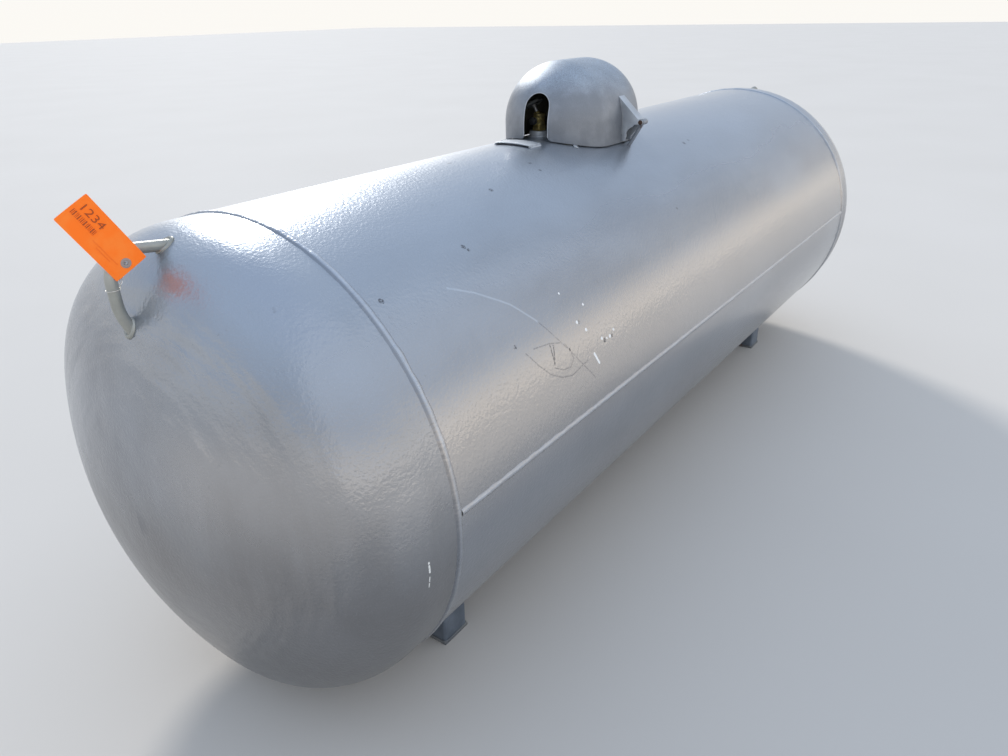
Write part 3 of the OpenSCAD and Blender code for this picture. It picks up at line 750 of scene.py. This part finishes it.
# %% [markdown]
# ## Softening a solid of the frame
# A CAD edge is perfectly sharp; sheet metal never is. For the folded and cut parts a copy of
# the solid's mesh is merged, its flat triangles are joined into whole faces, and its sharp
# edges are bevelled. The copy then stands for the solid, which stays in the frame.

# %% Dressed copies
def merged_copy(node):
    bm = bmesh.new()
    bm.from_mesh(nodes[node].data)
    bmesh.ops.remove_doubles(bm, verts=bm.verts, dist=0.00002)
    bmesh.ops.dissolve_limit(bm, angle_limit=math.radians(0.2), verts=bm.verts, edges=bm.edges)
    return bm


def sharp_edges(bm, angle=40):
    limit = math.radians(angle)
    return [e for e in bm.edges if e.is_manifold and e.calc_face_angle(0) > limit]


def dressed(node, piece, material, slot, edge=0.0006, body="tank"):
    """A copy of a solid with softened edges, which stands for it."""
    bm = merged_copy(node)
    soften(bm, sharp_edges(bm), edge)
    settle(piece, bm, material, slot, node, body=body)


print("helpers: merged_copy, sharp_edges, dressed")

# %% [markdown]
# ## Legs
# Each leg is a channel folded from 6 mm plate, open towards the middle of the tank. A fold has
# a radius of about the plate's thickness, so the two long outer corners are rounded by 7 mm and
# the cut edges by much less. The head of the leg follows the shell and is welded along its
# three outer faces, and its foot is welded to a small plate.

# %% Legs and their welds
ENDS = (("near", -1), ("far", 1))
LEG_X, LEG_Y, LEG_W, LEG_DEPTH, FOOT_T = 1.006, 0.263, 0.077, 0.074, 0.0065
FOLD_R, CLOSE = 0.007, 0.0005


def leg_copy(node):
    """A leg with rounded folds; tells how many it found."""
    bm = merged_copy(node)
    folds = [e for e in bm.edges
             if abs(e.verts[0].co.z - e.verts[1].co.z) > 0.05
             and all(abs(abs(v.co.y) - LEG_Y) < CLOSE
                     and abs(abs(abs(v.co.x) - LEG_X) - LEG_W / 2) < CLOSE for v in e.verts)]
    soften(bm, folds, FOLD_R, 5)
    soften(bm, sharp_edges(bm, 50), 0.0006)
    settle(f"{node}_folded", bm, leg_blue, "leg_paint", node)
    return len(folds)


def leg_path(end, side, level):
    """The outer outline of a leg, at a height that depends on the distance from the middle."""
    half, corner, face = LEG_W / 2 + 0.0005, 0.0065, LEG_Y + 0.0005
    plan = [(-half, face - LEG_DEPTH), (-half, face - corner)]
    plan += [(-half + corner * (1 - math.cos(a)), face - corner * (1 - math.sin(a)))
             for a in (math.radians(22.5 * i) for i in range(1, 4))]
    plan += [(-half + corner, face)]
    plan += [(-x, y) for x, y in reversed(plan)]
    line = resample([(end * LEG_X + x, side * y, 0) for x, y in plan], 0.004)
    return [(p.x, p.y, level(abs(p.y))) for p in line]


LEG_WELDS = (("leg", 0.0042, 3, leg_blue, lambda y: AXIS_Z - shell_height(y) - 0.001),
             ("foot", 0.0030, 30, foot_grey, lambda y: FOOT_T + 0.0006))
found = 0
for end_name, end in ENDS:
    for side_name, side in (("front", -1), ("back", 1)):
        corner = f"{side_name}_{end_name}"
        found += leg_copy(f"leg_{corner}")
        for part, radius, seed, material, level in LEG_WELDS:
            bm = bmesh.new()
            bead(bm, leg_path(end, side, level), radius, seed + end + 2 * side)
            settle(f"{part}_weld_{corner}", bm, material, "leg_paint")
        dressed(f"foot_{corner}", f"foot_plate_{corner}", foot_grey, "leg_paint", 0.0008)
print("legs: 4 channels with", found, "folded corners, 8 weld beads")

# %% [markdown]
# ## Tank welds
# The girth welds and the long seam were laid by a machine: wide, low and regular. Each is a
# strip with a rounded back, pressed a little into the plate. It starts as a flat grid whose
# rows run across the weld; every row is then set on the shell and raised by its crescent. The
# strip is given a thickness, so that it is a closed body.

# %% Machine-laid welds
PITCH, ROWS, SUNK, SEAM_GAP = 0.0075, 4, 0.0009, 0.0093


def thicken(bm, thickness, outward):
    """Thickens a sheet behind its faces, once most of them look outward."""
    bmesh.ops.recalc_face_normals(bm, faces=bm.faces)
    if sum(outward(face) for face in bm.faces) < 0:
        bmesh.ops.reverse_faces(bm, faces=bm.faces)
    bmesh.ops.solidify(bm, geom=bm.faces[:], thickness=thickness)


def off_axis(face):
    """How far a face looks away from the tank's axis."""
    x, y, z = face.calc_center_median()
    return face.normal.dot(Vector((0, y, z - AXIS_Z)))


def machine_weld(name, node, material, size, length, place, seed, closed=False):
    """A low weld: place(along, across, lift) sets a point of it on the tank."""
    width, height, ripple = size
    chance = random.Random(seed)
    count = round(length / PITCH)
    # One draw more than the rows use: the draws that follow depend on it.
    uneven = [chance.uniform(-1, 1) for _ in range(count + 1)]
    drifts = [(chance.randint(18, 70), chance.uniform(0, math.tau)) for _ in range(6)]
    bm = bmesh.new()
    bmesh.ops.create_grid(bm, x_segments=count * ROWS, y_segments=8, size=1)
    for v in bm.verts:
        along, across = (v.co.x + 1) / 2, v.co.y
        bow = along * count - 0.35 * across * across
        i = math.floor(bow)
        share = bow - i
        amount = uneven[i % count] * (1 - share) + uneven[(i + 1) % count] * share
        crest = 0.5 - 0.5 * math.cos(math.tau * share)
        drift = sum(math.sin(math.tau * n * along + phase) for n, phase in drifts) / 3
        body = 1 - across * across
        lift = height * body * (0.86 + 0.05 * amount + 0.08 * drift) + ripple * crest * body
        reach = across * width / 2 * (1 + 0.03 * amount + 0.06 * drift) + 0.0004 * drift
        v.co = place(along, reach, lift - SUNK)
    if closed:
        bmesh.ops.remove_doubles(bm, verts=bm.verts, dist=0.0001)
    thicken(bm, 0.0006, off_axis)
    settle(name, bm, material, "tank_paint", node, sharp=60)


def girth(end):
    def place(along, across, lift):
        a, r = math.tau * along, TANK_R + lift
        return Vector((end * HALF_SHELL + across, r * math.sin(a), AXIS_Z + r * math.cos(a)))
    return place


def seam(along, across, lift):
    x = -HALF_SHELL + SEAM_GAP + along * (2 * HALF_SHELL - 2 * SEAM_GAP)
    return on_shell(x, SEAM_ANGLE - math.degrees(across / TANK_R), lift)


round_length = math.tau * TANK_R
for (end_name, end), seed in zip(ENDS, (11, 12)):
    machine_weld(f"{end_name}_girth_bead", f"{end_name}_girth_weld", girth_silver,
                 (0.019, 0.0047, 0.00010), round_length, girth(end), seed, closed=True)
machine_weld("long_seam_bead", "long_seam_weld", seam_silver, (0.015, 0.0040, 0.00022),
             2 * HALF_SHELL, seam, 13)
print("tank welds: two of", round(round_length, 2), "m round, one of", 2 * HALF_SHELL, "m along")

# %% [markdown]
# ## Lifting rings
# A ring is one bent bar whose two ends run into the head. The weld round each end is where the
# bar's cylinder meets the dish: for every direction round the bar, the point is found by
# halving the distance between a point outside the head and one inside it.

# %% Ring welds
RING_R = 0.0095
RING_ENDS = (((0.2360, 0.467), (0.1370, 0.453)), ((0.2343, 0.368), (0.2233, 0.338)))
AROUND, HALVINGS = 48, 30


def full_turn(count):
    """Angles at an even spacing over a full turn."""
    return [math.tau * i / count for i in range(count)]


def ring_weld(end, *points):
    """The line where one end of a ring, from a start to a stop, meets its head."""
    start, stop = [Vector((x, 0, z)) for x, z in points]
    way = (stop - start).normalized()
    side = Vector((0, 1, 0))
    up = way.cross(side)
    line = []
    for a in full_turn(AROUND):
        off = side * RING_R * math.cos(a) + up * RING_R * math.sin(a)
        near, far = 0, (stop - start).length + 0.06
        for _ in range(HALVINGS):
            middle = (near + far) / 2
            p = start + off + way * middle
            if p.x > head_reach(math.hypot(p.y, p.z)):
                near = middle
            else:
                far = middle
        p = start + off + way * near
        line.append((end * (HALF_SHELL + p.x), p.y, AXIS_Z + p.z))
    return line


for end_name, end in ENDS:
    bm = bmesh.new()
    for k, points in enumerate(RING_ENDS):
        bead(bm, ring_weld(end, *points), 0.0044, 20 + k + end, closed=True, swell=0.05,
             pitch=0.007)
    settle(f"{end_name}_ring_welds", bm, ring_grey, "ring_paint")
print("ring welds: 4")

# %% [markdown]
# ## Hood
# The hood is a pressed dome on straight sides, 3 mm thick, with an arch cut in its near end for
# the pipe. Its cut edges are ground and catch the light, so they get a small round. The hinge box
# takes the paler strap paint, as painted light on its shaded side. A bead of weld joins the hinge
# box to its side, and a lip of paint follows the arch; its paler strap paint is a painted
# highlight along the rim.

# %% Hood and hinge box
HINGE_X, PIN_Y, PIN_Z = -0.067, -0.2095, 1.027143

dressed("hood", "hood_pressing", hood_grey, "hood_paint", 0.0008, "hood")
# The paler strap paint on the hinge box is painted light on its shaded side.
dressed("hinge_box", "hinge_box_folded", strap_silver, "hood_paint", body="hood")
dressed("rest_lugs", "rest_bars", strap_silver, "hood_paint", 0.0008)

bm = bmesh.new()
for x in (HINGE_X - 0.0162, HINGE_X + 0.0162):
    line = [(x, -HOOD_R - 0.0006, z) for z in (0.9955, 1.020)]
    line += [(x, -HOOD_R * math.cos(a) - 0.0006, SPRING_Z + HOOD_R * math.sin(a))
             for a in (math.radians(3 * i) for i in range(8))]
    bead(bm, line, 0.0020, 41)
settle("hinge_box_welds", bm, hood_grey, "hood_paint", body="hood")

ARCH_Y, ARCH_R, ARCH_LOW = -0.013, 0.035, 1.0045
ARCH_SPRING = AXIS_Z + TANK_R + 0.1155 - ARCH_R
arch = [(ARCH_Y - ARCH_R, ARCH_LOW + (ARCH_SPRING - ARCH_LOW) * i / 8) for i in range(8)]
arch += [(ARCH_Y - ARCH_R * math.cos(a), ARCH_SPRING + ARCH_R * math.sin(a))
         for a in (math.pi * i / 24 for i in range(25))]
arch += [(2 * ARCH_Y - y, z) for y, z in reversed(arch[:8])]


def hood_end(y, z, lift):
    """A point on the outside of the hood's near end."""
    reach = math.sqrt((HOOD_R + lift) ** 2 - y * y - max(0, z - SPRING_Z) ** 2)
    return Vector((HOOD_X - HOOD_STRAIGHT - reach, y, z))


bm = bmesh.new()
# A lip of paint over the arch, in the paler strap paint as a painted highlight along the rim.
bead(bm, [hood_end(y, z, -0.0003) for y, z in arch], 0.0011, 44, swell=0.05)
settle("arch_lip_with_painted_highlight", bm, strap_silver, "hood_paint", body="hood")
print("hood: edges rounded, 2 box welds, and a lip over the arch up to z",
      round(max(z for y, z in arch), 3))

# %% [markdown]
# ## Hinge
# A tab on the shell carries a knuckle, and a rod through it is the hinge. The rod is a piece of
# plain round steel with a washer and a bent tail, long since brown with rust.

# %% Hinge parts
dressed("hinge_bracket", "hinge_tab", hood_grey, "bare_steel")

bm = bmesh.new()
along_x = shift(HINGE_X, PIN_Y, PIN_Z) @ spun(90, "Y")
lathe(bm, [(0, -17.5), (3.9, -17.5), (4, -17.2), (4, 16.6), (3.4, 17.5), (0, 17.5)], along_x, 20)
lathe(bm, [(0, -20.5), (4.6, -20.5), (5.8, -19.7), (6, -18.6), (6, -17.7), (5.6, -17.5),
           (0, -17.5)], along_x, 24)
tail = [(HINGE_X - x, PIN_Y - y, PIN_Z + z) for x, y, z in (
    (0.0200, 0.0035, 0.002), (0.0212, 0.0040, -0.003),
    (0.0206, 0.0042, -0.009), (0.0198, 0.0034, -0.014))]
tube(bm, resample(tail, 0.0012), 0.0013, rounds=2)
settle("hinge_rod", bm, rusted, "rusted_steel", "hinge_pin", body="hood")
print("hinge: rod of 35 mm with a head and a bent tail")

# %% [markdown]
# ## Strap on the crown
# A flat strap stands 4 mm clear of the shell on its two bent feet, ahead of the hood. Short
# welds hold the feet.

# %% Strap
STRAP_X, STRAP_LEN = -0.360, 0.106
dressed("crown_strap", "strap_plate", strap_silver, "tank_paint")
bm = bmesh.new()
middle = math.degrees(0.004 / TANK_R)
for k, side in enumerate((-1, 1)):
    angle = middle + side * math.degrees((STRAP_LEN / 2 + 0.001) / TANK_R)
    bead(bm, [on_shell(STRAP_X + x, angle, 0.0006) for x in (-0.023, -0.008, 0.008, 0.023)],
         0.0026, 50 + k, swell=0.16)
settle("strap_welds", bm, strap_silver, "tank_paint")
print("strap: two end welds")

# %% [markdown]
# ## Fittings under the hood
# Five bosses are welded into the crown. They carry, from the near end: the service valve with
# its handwheel and a side outlet, the vapour valve, the safety relief valve under a rain cap,
# the float gauge with its dial, and the fill valve under a knurled cap. All of them are turned
# parts, most with a hexagon at the foot, so a few profiles describe them.

# %% Bosses
SEAT_Z, BOSS_WELD_R = 1.0093, 0.0275
BOSSES = {"service": (-0.128, 0.027), "relief": (-0.020, 0.040), "fill": (0.080, 0.004),
          "gauge": (0.020, -0.046), "vapour": (-0.062, -0.042)}


def on_boss(name, height=0):
    dx, dy = BOSSES[name]
    return shift(HOOD_X + dx, dy, SEAT_Z + height / 1000)


dressed("fitting_bosses", "boss_rings", boss_silver, "bare_steel", 0.0009)
bm = bmesh.new()
for k, (dx, dy) in enumerate(BOSSES.values()):
    line = [(HOOD_X + dx + BOSS_WELD_R * math.cos(a), dy + BOSS_WELD_R * math.sin(a))
            for a in full_turn(40)]
    bead(bm, [(x, y, AXIS_Z + shell_height(y, 0.0008)) for x, y in line], 0.0034, 60 + k,
         closed=True, pitch=0.006)
settle("boss_welds", bm, boss_silver, "bare_steel")
print("bosses: 5 with closed weld beads")

# %% Service valve
THREAD = ((11.4, 0), (12, 0.6), (12, 1.4), (11.4, 2))
valve = on_boss("service")
outlet = valve @ shift(0, 0, 0.0264) @ spun(-90, "Y")
tilted = on_boss("service", 32) @ spun(-29, "X")
bm = bmesh.new()
prism(bm, 20, 0, 14, 1.2, valve)
lathe(bm, [(0, 13.5), (15, 13.5), (16, 15.5), (16, 31), (14.6, 33), (14.6, 35), (15.6, 36.5),
           (15.6, 41.5), (14.2, 43.6), (9, 44), (0, 44)], valve)
lathe(bm, [(0, 6), (11.4, 6), (11.4, 15.5)]
      + [(r, 16 + 2.2 * k + h) for k in range(4) for r, h in THREAD]
      + [(11.2, 25.2), (10.6, 26), (0, 26)], outlet)
prism(bm, 9.2, 9, 16.5, 0.8, tilted)
settle("service_valve_body", bm, brass, "valve_brass", "service_valve")

bm = bmesh.new()
lathe(bm, [(0, 0), (5.2, 0), (5.2, 17), (4.6, 17.6), (4.6, 30), (5.2, 30.6), (5.2, 44.6),
           (4.4, 46), (0, 46)], tilted, 24)
prism(bm, 5.8, 44, 47.5, 0.5, tilted)
settle("service_stem", bm, bright_steel, "valve_brass", "service_spindle")

bm = bmesh.new()
cap = outlet @ shift(0, 0, 0.0263)
lathe(bm, [(0, 0), (9.9, 0), (10, 0.4), (10, 2.6), (9.4, 3), (0, 3)], cap)
prism(bm, 10, 3, 10, 0.7, cap)
settle("outlet_cap", bm, plug_black, "plug_plastic", "outlet_plug")
print("service valve: body, stem and outlet cap")

# %% Handwheel
WHEEL_LOBES = 6
wheel = tilted @ shift(0, 0, 0.036)
bm, rim = bmesh.new(), bmesh.new()
bmesh.ops.create_circle(rim, segments=14, radius=0.004,
                        matrix=shift(0.024, 0, 0.004) @ spun(90, "X"))
revolve(rim, 72)
rib(rim, WHEEL_LOBES, 0.07)
add(bm, rim, wheel)
lathe(bm, [(5.4, 0), (8.6, 0), (9, 0.6), (9, 7), (8, 8), (5.4, 8), (5.4, 0)], wheel)
for a in (0, 90, 180, 270):
    block(bm, (14.5, 6, 4), wheel @ spun(a, "Z") @ shift(0.0152, 0, 0.004), 1.2)
settle("service_wheel", bm, wheel_grey, "wheel_paint", "service_handwheel")
print("handwheel: rim with", WHEEL_LOBES, "lobes and 4 spokes")

# %% Relief valve and its rain cap
def turned(name, node, foot, size, profile, place, steps=40, material=brass,
           slot="valve_brass"):
    """A part turned on its foot, which is a hexagon or a grip of a size in mm."""
    bm = bmesh.new()
    foot(bm, *size, place)
    lathe(bm, profile, place, steps)
    settle(name, bm, material, slot, node)


turned("relief_body", "relief_valve", prism, (25.3, 0, 16, 1.4),
       [(0, 15.5), (20.5, 15.5), (22, 17), (22, 22), (20.6, 23.2), (20.6, 26), (22, 27.4),
        (22, 58), (20.8, 59.2), (20.8, 61.4), (22, 62.6), (22, 71), (21, 72), (0, 72)],
       on_boss("relief"), 48)
turned("rain_cap", "relief_cap", knurl, (25, 0, 6, 30, 0.8),
       [(0, 5), (23.6, 5), (23.4, 6.6), (20, 8.2), (19, 8.1), (17.5, 9.6), (9, 10.8), (8, 10.4),
        (5, 10.4), (4, 11), (0, 11)], on_boss("relief", 72.3), 48, cap_black, "cap_rubber")
print("relief valve: 72 mm high, with a ribbed cap")

# %% Fill valve, vapour valve and their caps
RIDGE = ((19.6, 28), (20.8, 28.8), (20.8, 29.8), (19.6, 30.6))
turned("fill_body", "fill_valve", prism, (25.2, 0, 18, 1.4),
       [(0, 17.5), (19.4, 17.5), (21, 19), (21, 26), (19.6, 27.2)]
       + [(r, h + 3 * k) for k in range(7) for r, h in RIDGE]
       + [(19.4, 51), (18.6, 52), (0, 52)], on_boss("fill"), 48)
turned("fill_cap_grip", "fill_cap", knurl, (25, 0, 18, 24, 1.6),
       [(0, 16), (22.4, 16), (22, 18.4), (19, 21), (17, 21.6), (9, 21.6), (8, 22), (0, 22)],
       on_boss("fill", 52.3), 48)
turned("vapour_body", "vapour_valve", prism, (18.2, 0, 14, 1.2),
       [(0, 13.5), (13, 13.5), (14, 14.8), (14, 24), (12.8, 25.4), (12.8, 29), (14, 30.4),
        (14, 39), (13, 40), (0, 40)], on_boss("vapour"))
turned("vapour_cap_grip", "vapour_cap", knurl, (17, 0, 12.5, 20, 1),
       [(0, 11), (14.6, 11), (14.2, 13.2), (12.4, 14), (0, 14)], on_boss("vapour", 40.3))
print("fill and vapour valves with knurled caps")

# %% [markdown]
# ## Float gauge
# The gauge is a round flange with four bolts. Its dial is a low plastic drum; the scale is
# printed in plain numbers from 10 to 90. The numbers are text curves that become thin meshes,
# laid in a ring.

# %% Gauge flange and bolts
gauge = on_boss("gauge")
bm = bmesh.new()
lathe(bm, [(0, 0), (23, 0), (23, 8.6), (0, 8.6)], gauge)
lathe(bm, [(0, 9), (30, 9), (31, 9.9), (31, 15), (30, 16), (20, 16), (19, 15.6), (0, 15.6)],
      gauge, 56)
for a in (45, 135, 225, 315):
    bolt = gauge @ spun(a, "Z") @ shift(0.024, 0, 0)
    lathe(bm, [(0, 15.5), (5.2, 15.5), (5.4, 16), (5.4, 16.6), (0, 16.8)], bolt, 20)
    prism(bm, 4.7, 16.5, 20, 0.6, bolt)
settle("gauge_flange", bm, worn_steel, "bare_steel", "float_gauge")
print("gauge: flange with 4 bolts")

# %% Gauge dial
CAPITAL, INK_T = 0.70, 0.0001
NUMBER_R, MARKS, FIRST_MARK = 0.0082, 27, 220


def lettering(bm, text, height, place):
    """Flat lettering: a text curve, made a mesh before it is placed; tells its width."""
    curve = bpy.data.curves.new("lettering", "FONT")
    curve.body = text
    curve.size = height / CAPITAL
    curve.extrude = INK_T
    curve.resolution_u = 4
    part = bmesh.new()
    take_curve(part, curve)
    width = max(v.co.x for v in part.verts)
    bmesh.ops.remove_doubles(part, verts=part.verts, dist=MERGE)
    add(bm, part, place)
    return width


dial = on_boss("gauge", 16.3)
bm = bmesh.new()
lathe(bm, [(0, 0), (14.6, 0), (15, 0.5), (15, 4.9), (14.2, 6), (13.4, 6), (12.9, 5.2), (0, 5.2)],
      dial, 48)
settle("dial_drum", bm, dial_white, "dial_plastic", "gauge_dial")
bm = bmesh.new()
for k, number in enumerate((10, 30, 50, 70, 90)):
    a = math.radians(FIRST_MARK - 65 * k)
    middle = shift(NUMBER_R * math.cos(a) - 0.0017, NUMBER_R * math.sin(a) - 0.0011, 0.0053)
    lettering(bm, str(number), 0.0022, dial @ middle)
for k in range(MARKS):
    mark = spun(FIRST_MARK - 10 * k, "Z") @ shift(0.0116, 0, 0.00525)
    block(bm, (1.6, 0.3, 0.2), dial @ mark, 0.05)
block(bm, (7.5, 0.7, 0.3), dial @ spun(35, "Z") @ shift(0.0025, 0, 0.0055), 0.1)
lathe(bm, [(0, 5.2), (1.3, 5.2), (1.3, 5.8), (0, 5.8)], dial, 16)
settle("dial_print", bm, dial_ink, "dial_plastic")
print("dial: 5 numbers,", MARKS, "marks and a pointer")

# %% [markdown]
# ## Tag
# The tag is a thin plastic sheet, wired to the ring through a punched eyelet. It hangs in the
# air, so it is not flat: it bows along its length and its sides curl a little at both ends. The
# sheet is one face whose corners are rounded; cuts across it give rows that can bend; the square
# round the eyelet is opened and bridged to a circle, which is the hole. The print is a plain
# number with bars.

# %% Tag sheet
TAG_W, TAG_LEN, TAG_T, TAG_UP = 0.058, 0.125, 0.0006, 0.013
HOLE_SQUARE, HOLE_R = 0.0095, 0.0034
tag_place = (shift(-HALF_SHELL - 0.213, -0.0157, 0.9657)
             @ spun(-30.5, "Y") @ spun(-11.5, "Z") @ spun(-5.5, "X"))


def bow_sheet(bm):
    """Bends a flat sheet, which lies in its XZ plane with its front towards -Y."""
    for v in bm.verts:
        far = max(0, v.co.z - 0.012) / 0.100
        across = v.co.x / (TAG_W / 2)
        v.co.y += 0.0022 * (far - far * far) * 2 - 0.0010 * far * across * across
        near = max(0, 0.010 - v.co.z) / 0.023
        v.co.y += 0.0014 * near * (across * across)


def slit(bm, normal, places):
    """Cuts a sheet across, at places along a normal."""
    for place in places:
        bmesh.ops.bisect_plane(bm, geom=bm.verts[:] + bm.edges[:] + bm.faces[:], dist=0.000001,
                               plane_co=Vector(normal) * place, plane_no=normal)


def hang(bm, forward):
    """Moves a sheet forward, and then to its place on the tank."""
    bmesh.ops.translate(bm, verts=bm.verts, vec=(0, forward, 0))
    bm.transform(tag_place)


bm = bmesh.new()
low, high = -TAG_UP, TAG_LEN - TAG_UP
corners = [bm.verts.new((x, 0, z)) for x, z in ((-TAG_W / 2, low), (TAG_W / 2, low),
                                                (TAG_W / 2, high), (-TAG_W / 2, high))]
bm.faces.new(corners)
soften(bm, corners, 0.0018, 4, "VERTICES")
slit(bm, (1, 0, 0), (-0.019, -HOLE_SQUARE, HOLE_SQUARE, 0.019))
slit(bm, (0, 0, 1), (-HOLE_SQUARE, HOLE_SQUARE, 0.018, 0.028, 0.038, 0.048, 0.058, 0.068, 0.078,
                     0.088, 0.098, 0.106))
square = [f for f in bm.faces if f.calc_center_median().length < 0.004]
edges = [e for f in square for e in f.edges]
bmesh.ops.delete(bm, geom=square, context="FACES_ONLY")
bmesh.ops.subdivide_edges(bm, edges=edges, cuts=5)
outer = [e for e in bm.edges if e.is_boundary
         and all(max(abs(v.co.x), abs(v.co.z)) < HOLE_SQUARE + 1e-5 for v in e.verts)]
rim = bmesh.ops.create_circle(bm, segments=24, radius=HOLE_R,
                              matrix=spun(90, "X") @ spun(45, "Z"))["verts"]
inner = list({e for v in rim for e in v.link_edges})
bmesh.ops.bridge_loops(bm, edges=outer + inner)
bmesh.ops.triangulate(bm, faces=[f for f in bm.faces if len(f.verts) > 4])
bow_sheet(bm)
thicken(bm, TAG_T, lambda face: -face.normal.y)
back = max(v.co.y for v in bm.verts if abs(v.co.x) < 0.012 and abs(v.co.z) < 0.012)
hang(bm, -back)
settle("tag_sheet", bm, tag_orange, "tag_plastic", "lot_tag")
print("tag: sheet of", TAG_W * 1000, "x", TAG_LEN * 1000, "mm, bowed; back moved by",
      round(back * 1000, 3), "mm")

# %% Print on the tag
NUMBER_TOP, NUMBER_LOW, NUMBER_LONG = 0.0195, 0.0075, 0.046
BARS = ((0, 1.2), (2.6, 0.6), (4.4, 2), (8.6, 0.7), (10.6, 0.7), (13, 1.8), (17, 0.7),
        (19.4, 1.2), (22.2, 0.6), (24.2, 2.2), (28.6, 0.7), (30.6, 1.5), (34, 0.6), (36.2, 0.6),
        (38.4, 2), (42, 1), (44.4, 0.7))
bm = bmesh.new()
reading = Matrix(((0, 1, 0, NUMBER_LOW), (0, 0, -1, 0), (-1, 0, 0, 0.1055), (0, 0, 0, 1)))
width = lettering(bm, "1234", NUMBER_TOP - NUMBER_LOW, Matrix())
bm.transform(reading @ Matrix.Diagonal((NUMBER_LONG / width, 1, 1, 1)))
for start, thick in BARS:
    middle = 0.1065 - (start + thick / 2) / 1000
    block(bm, (8.6, 0.12, thick), shift(-0.0016, 0, middle), 0.02)
for x, long in ((-0.0108, 50), (-0.0152, 28)):
    block(bm, (0.35, 0.12, long), shift(x, 0, 0.031), 0.02)
slit(bm, (0, 0, 1), (0.086, 0.074, 0.060, 0.048, 0.036, 0.024, 0.014))
bow_sheet(bm)
hang(bm, -TAG_T - 0.00004 - back)
settle("tag_print", bm, tag_ink, "tag_plastic")
print("tag print: a number", round(width * 1000, 1), "mm wide before fitting,", len(BARS), "bars")

# %% Eyelet and wire
TIE = Vector((-HALF_SHELL - 0.2349, 0, AXIS_Z + 0.4056))
WIRE_R, TURN_R, TWIST = 0.0007, RING_R + 0.0009, 26
bm = bmesh.new()
half = [(3, -1.2), (4, -1.7), (6.2, -1.6), (7.8, -1.1), (8, -0.5)]
lathe(bm, half + [(r, -h) for r, h in reversed(half)] + half[:1],
      tag_place @ shift(0, -TAG_T / 2, 0) @ spun(90, "X"), 36)
settle("eyelet_ring", bm, eyelet_grey, "eyelet_plastic", "tag_eyelet")

eye = tag_place.to_translation()
bm = bmesh.new()
turn = []
for i in range(61):
    a = math.radians(-52 + 7.2 * i)
    turn.append(TIE + Vector((TURN_R * math.cos(a), TURN_R * math.sin(a), 0.0008 * (i / 30 - 1))))
tube(bm, turn, WIRE_R)
for phase, start in ((0, turn[0]), (math.pi, turn[-1])):
    way = eye + Vector((0.001, 0.004, -0.001)) - start
    u = way.cross(Vector((0, 0, 1))).normalized()
    w = way.cross(u).normalized()
    strand = []
    for i in range(60):
        t = i / 59
        spread = 0.0009 * min(1, 6 * t, 6 * (1 - t))
        a = phase + TWIST * t
        strand.append(start + way * t + (u * math.cos(a) + w * math.sin(a)) * spread)
    tube(bm, strand, WIRE_R)
tube(bm, [eye + tag_place.to_3x3() @ Vector(p) for p in (
    (0.0008, 0.0050, -0.001), (0.0008, 0.0010, -0.001), (0.0004, -0.0030, 0),
    (-0.0006, -0.0034, 0.0008), (-0.0010, 0.0010, 0.001), (-0.0010, 0.0050, 0.001))], WIRE_R)
settle("tie_wire_turns", bm, wire_pale, "tie_wire", "tag_wire")
print("eyelet and wire: one turn round the bar, a twisted pair to the tag")

# %% [markdown]
# ## Studio
# A pale floor and soft light at a plain level, so that a colour renders about as it is
# written. One broad, soft sun stands low behind the tank, where the highlight beside the ring
# asks for it; the sky is palest at the horizon and bluer overhead. A weak and very wide lamp
# fills the side that faces the camera.

# %% Floor
f = Finish("studio_floor")
f.coat(f.tint(f.noise(0.8, 2, 0.5), (0.58, 0.545, 0.50), (0.62, 0.585, 0.54)), Roughness=0.9)
bm = bmesh.new()
bmesh.ops.create_grid(bm, x_segments=2, y_segments=2, size=60)
mesh = bpy.data.meshes.new("studio_floor")
bm.to_mesh(mesh)
bm.free()
mesh.materials.append(f.material)
floor = bpy.data.objects.new("studio_floor", mesh)
bpy.context.collection.objects.link(floor)
print("floor: pale, 120 m square")

# %% Sky and sun
SKY_STRENGTH = 1.08
SKY = ((0.00, (0.90, 0.88, 0.84)), (0.10, (0.90, 0.88, 0.86)), (0.20, (0.71, 0.76, 0.84)),
       (0.42, (0.59, 0.69, 0.85)), (0.75, (0.64, 0.77, 0.96)), (1.00, (0.62, 0.75, 0.98)))
world = bpy.context.scene.world or bpy.data.worlds.new("studio")
bpy.context.scene.world = world
world.use_nodes = True
sky = world.node_tree
upward = sky.nodes.new("ShaderNodeTexCoord")
split = sky.nodes.new("ShaderNodeSeparateXYZ")
ramp = sky.nodes.new("ShaderNodeValToRGB")
while len(ramp.color_ramp.elements) < len(SKY):
    ramp.color_ramp.elements.new(0.5)
for stop, (height, colour) in zip(ramp.color_ramp.elements, SKY):
    stop.position = height
    stop.color = (*colour, 1)
sky.links.new(upward.outputs["Generated"], split.inputs[0])
sky.links.new(split.outputs["Z"], ramp.inputs[0])
sky.links.new(ramp.outputs[0], sky.nodes["Background"].inputs[0])
sky.nodes["Background"].inputs[1].default_value = SKY_STRENGTH


def lamp(name, strength, spread, colour, towards):
    """A sun lamp that shines from a direction, as wide as its spread in degrees."""
    light = bpy.data.lights.new(name, "SUN")
    light.energy = strength
    light.angle = math.radians(spread)
    light.color = colour
    holder = bpy.data.objects.new(name, light)
    holder.rotation_euler = Vector(towards).to_track_quat("Z", "Y").to_euler()
    bpy.context.collection.objects.link(holder)


lamp("sun", 2.3, 12, (1, 0.96, 0.90), (0.50, 0.72, 0.48))
lamp("fill", 0.65, 125, (1, 0.93, 0.84), (0.12, -0.97, 0.20))
print("sky of", len(SKY), "bands, a soft sun behind the tank and a fill before it")
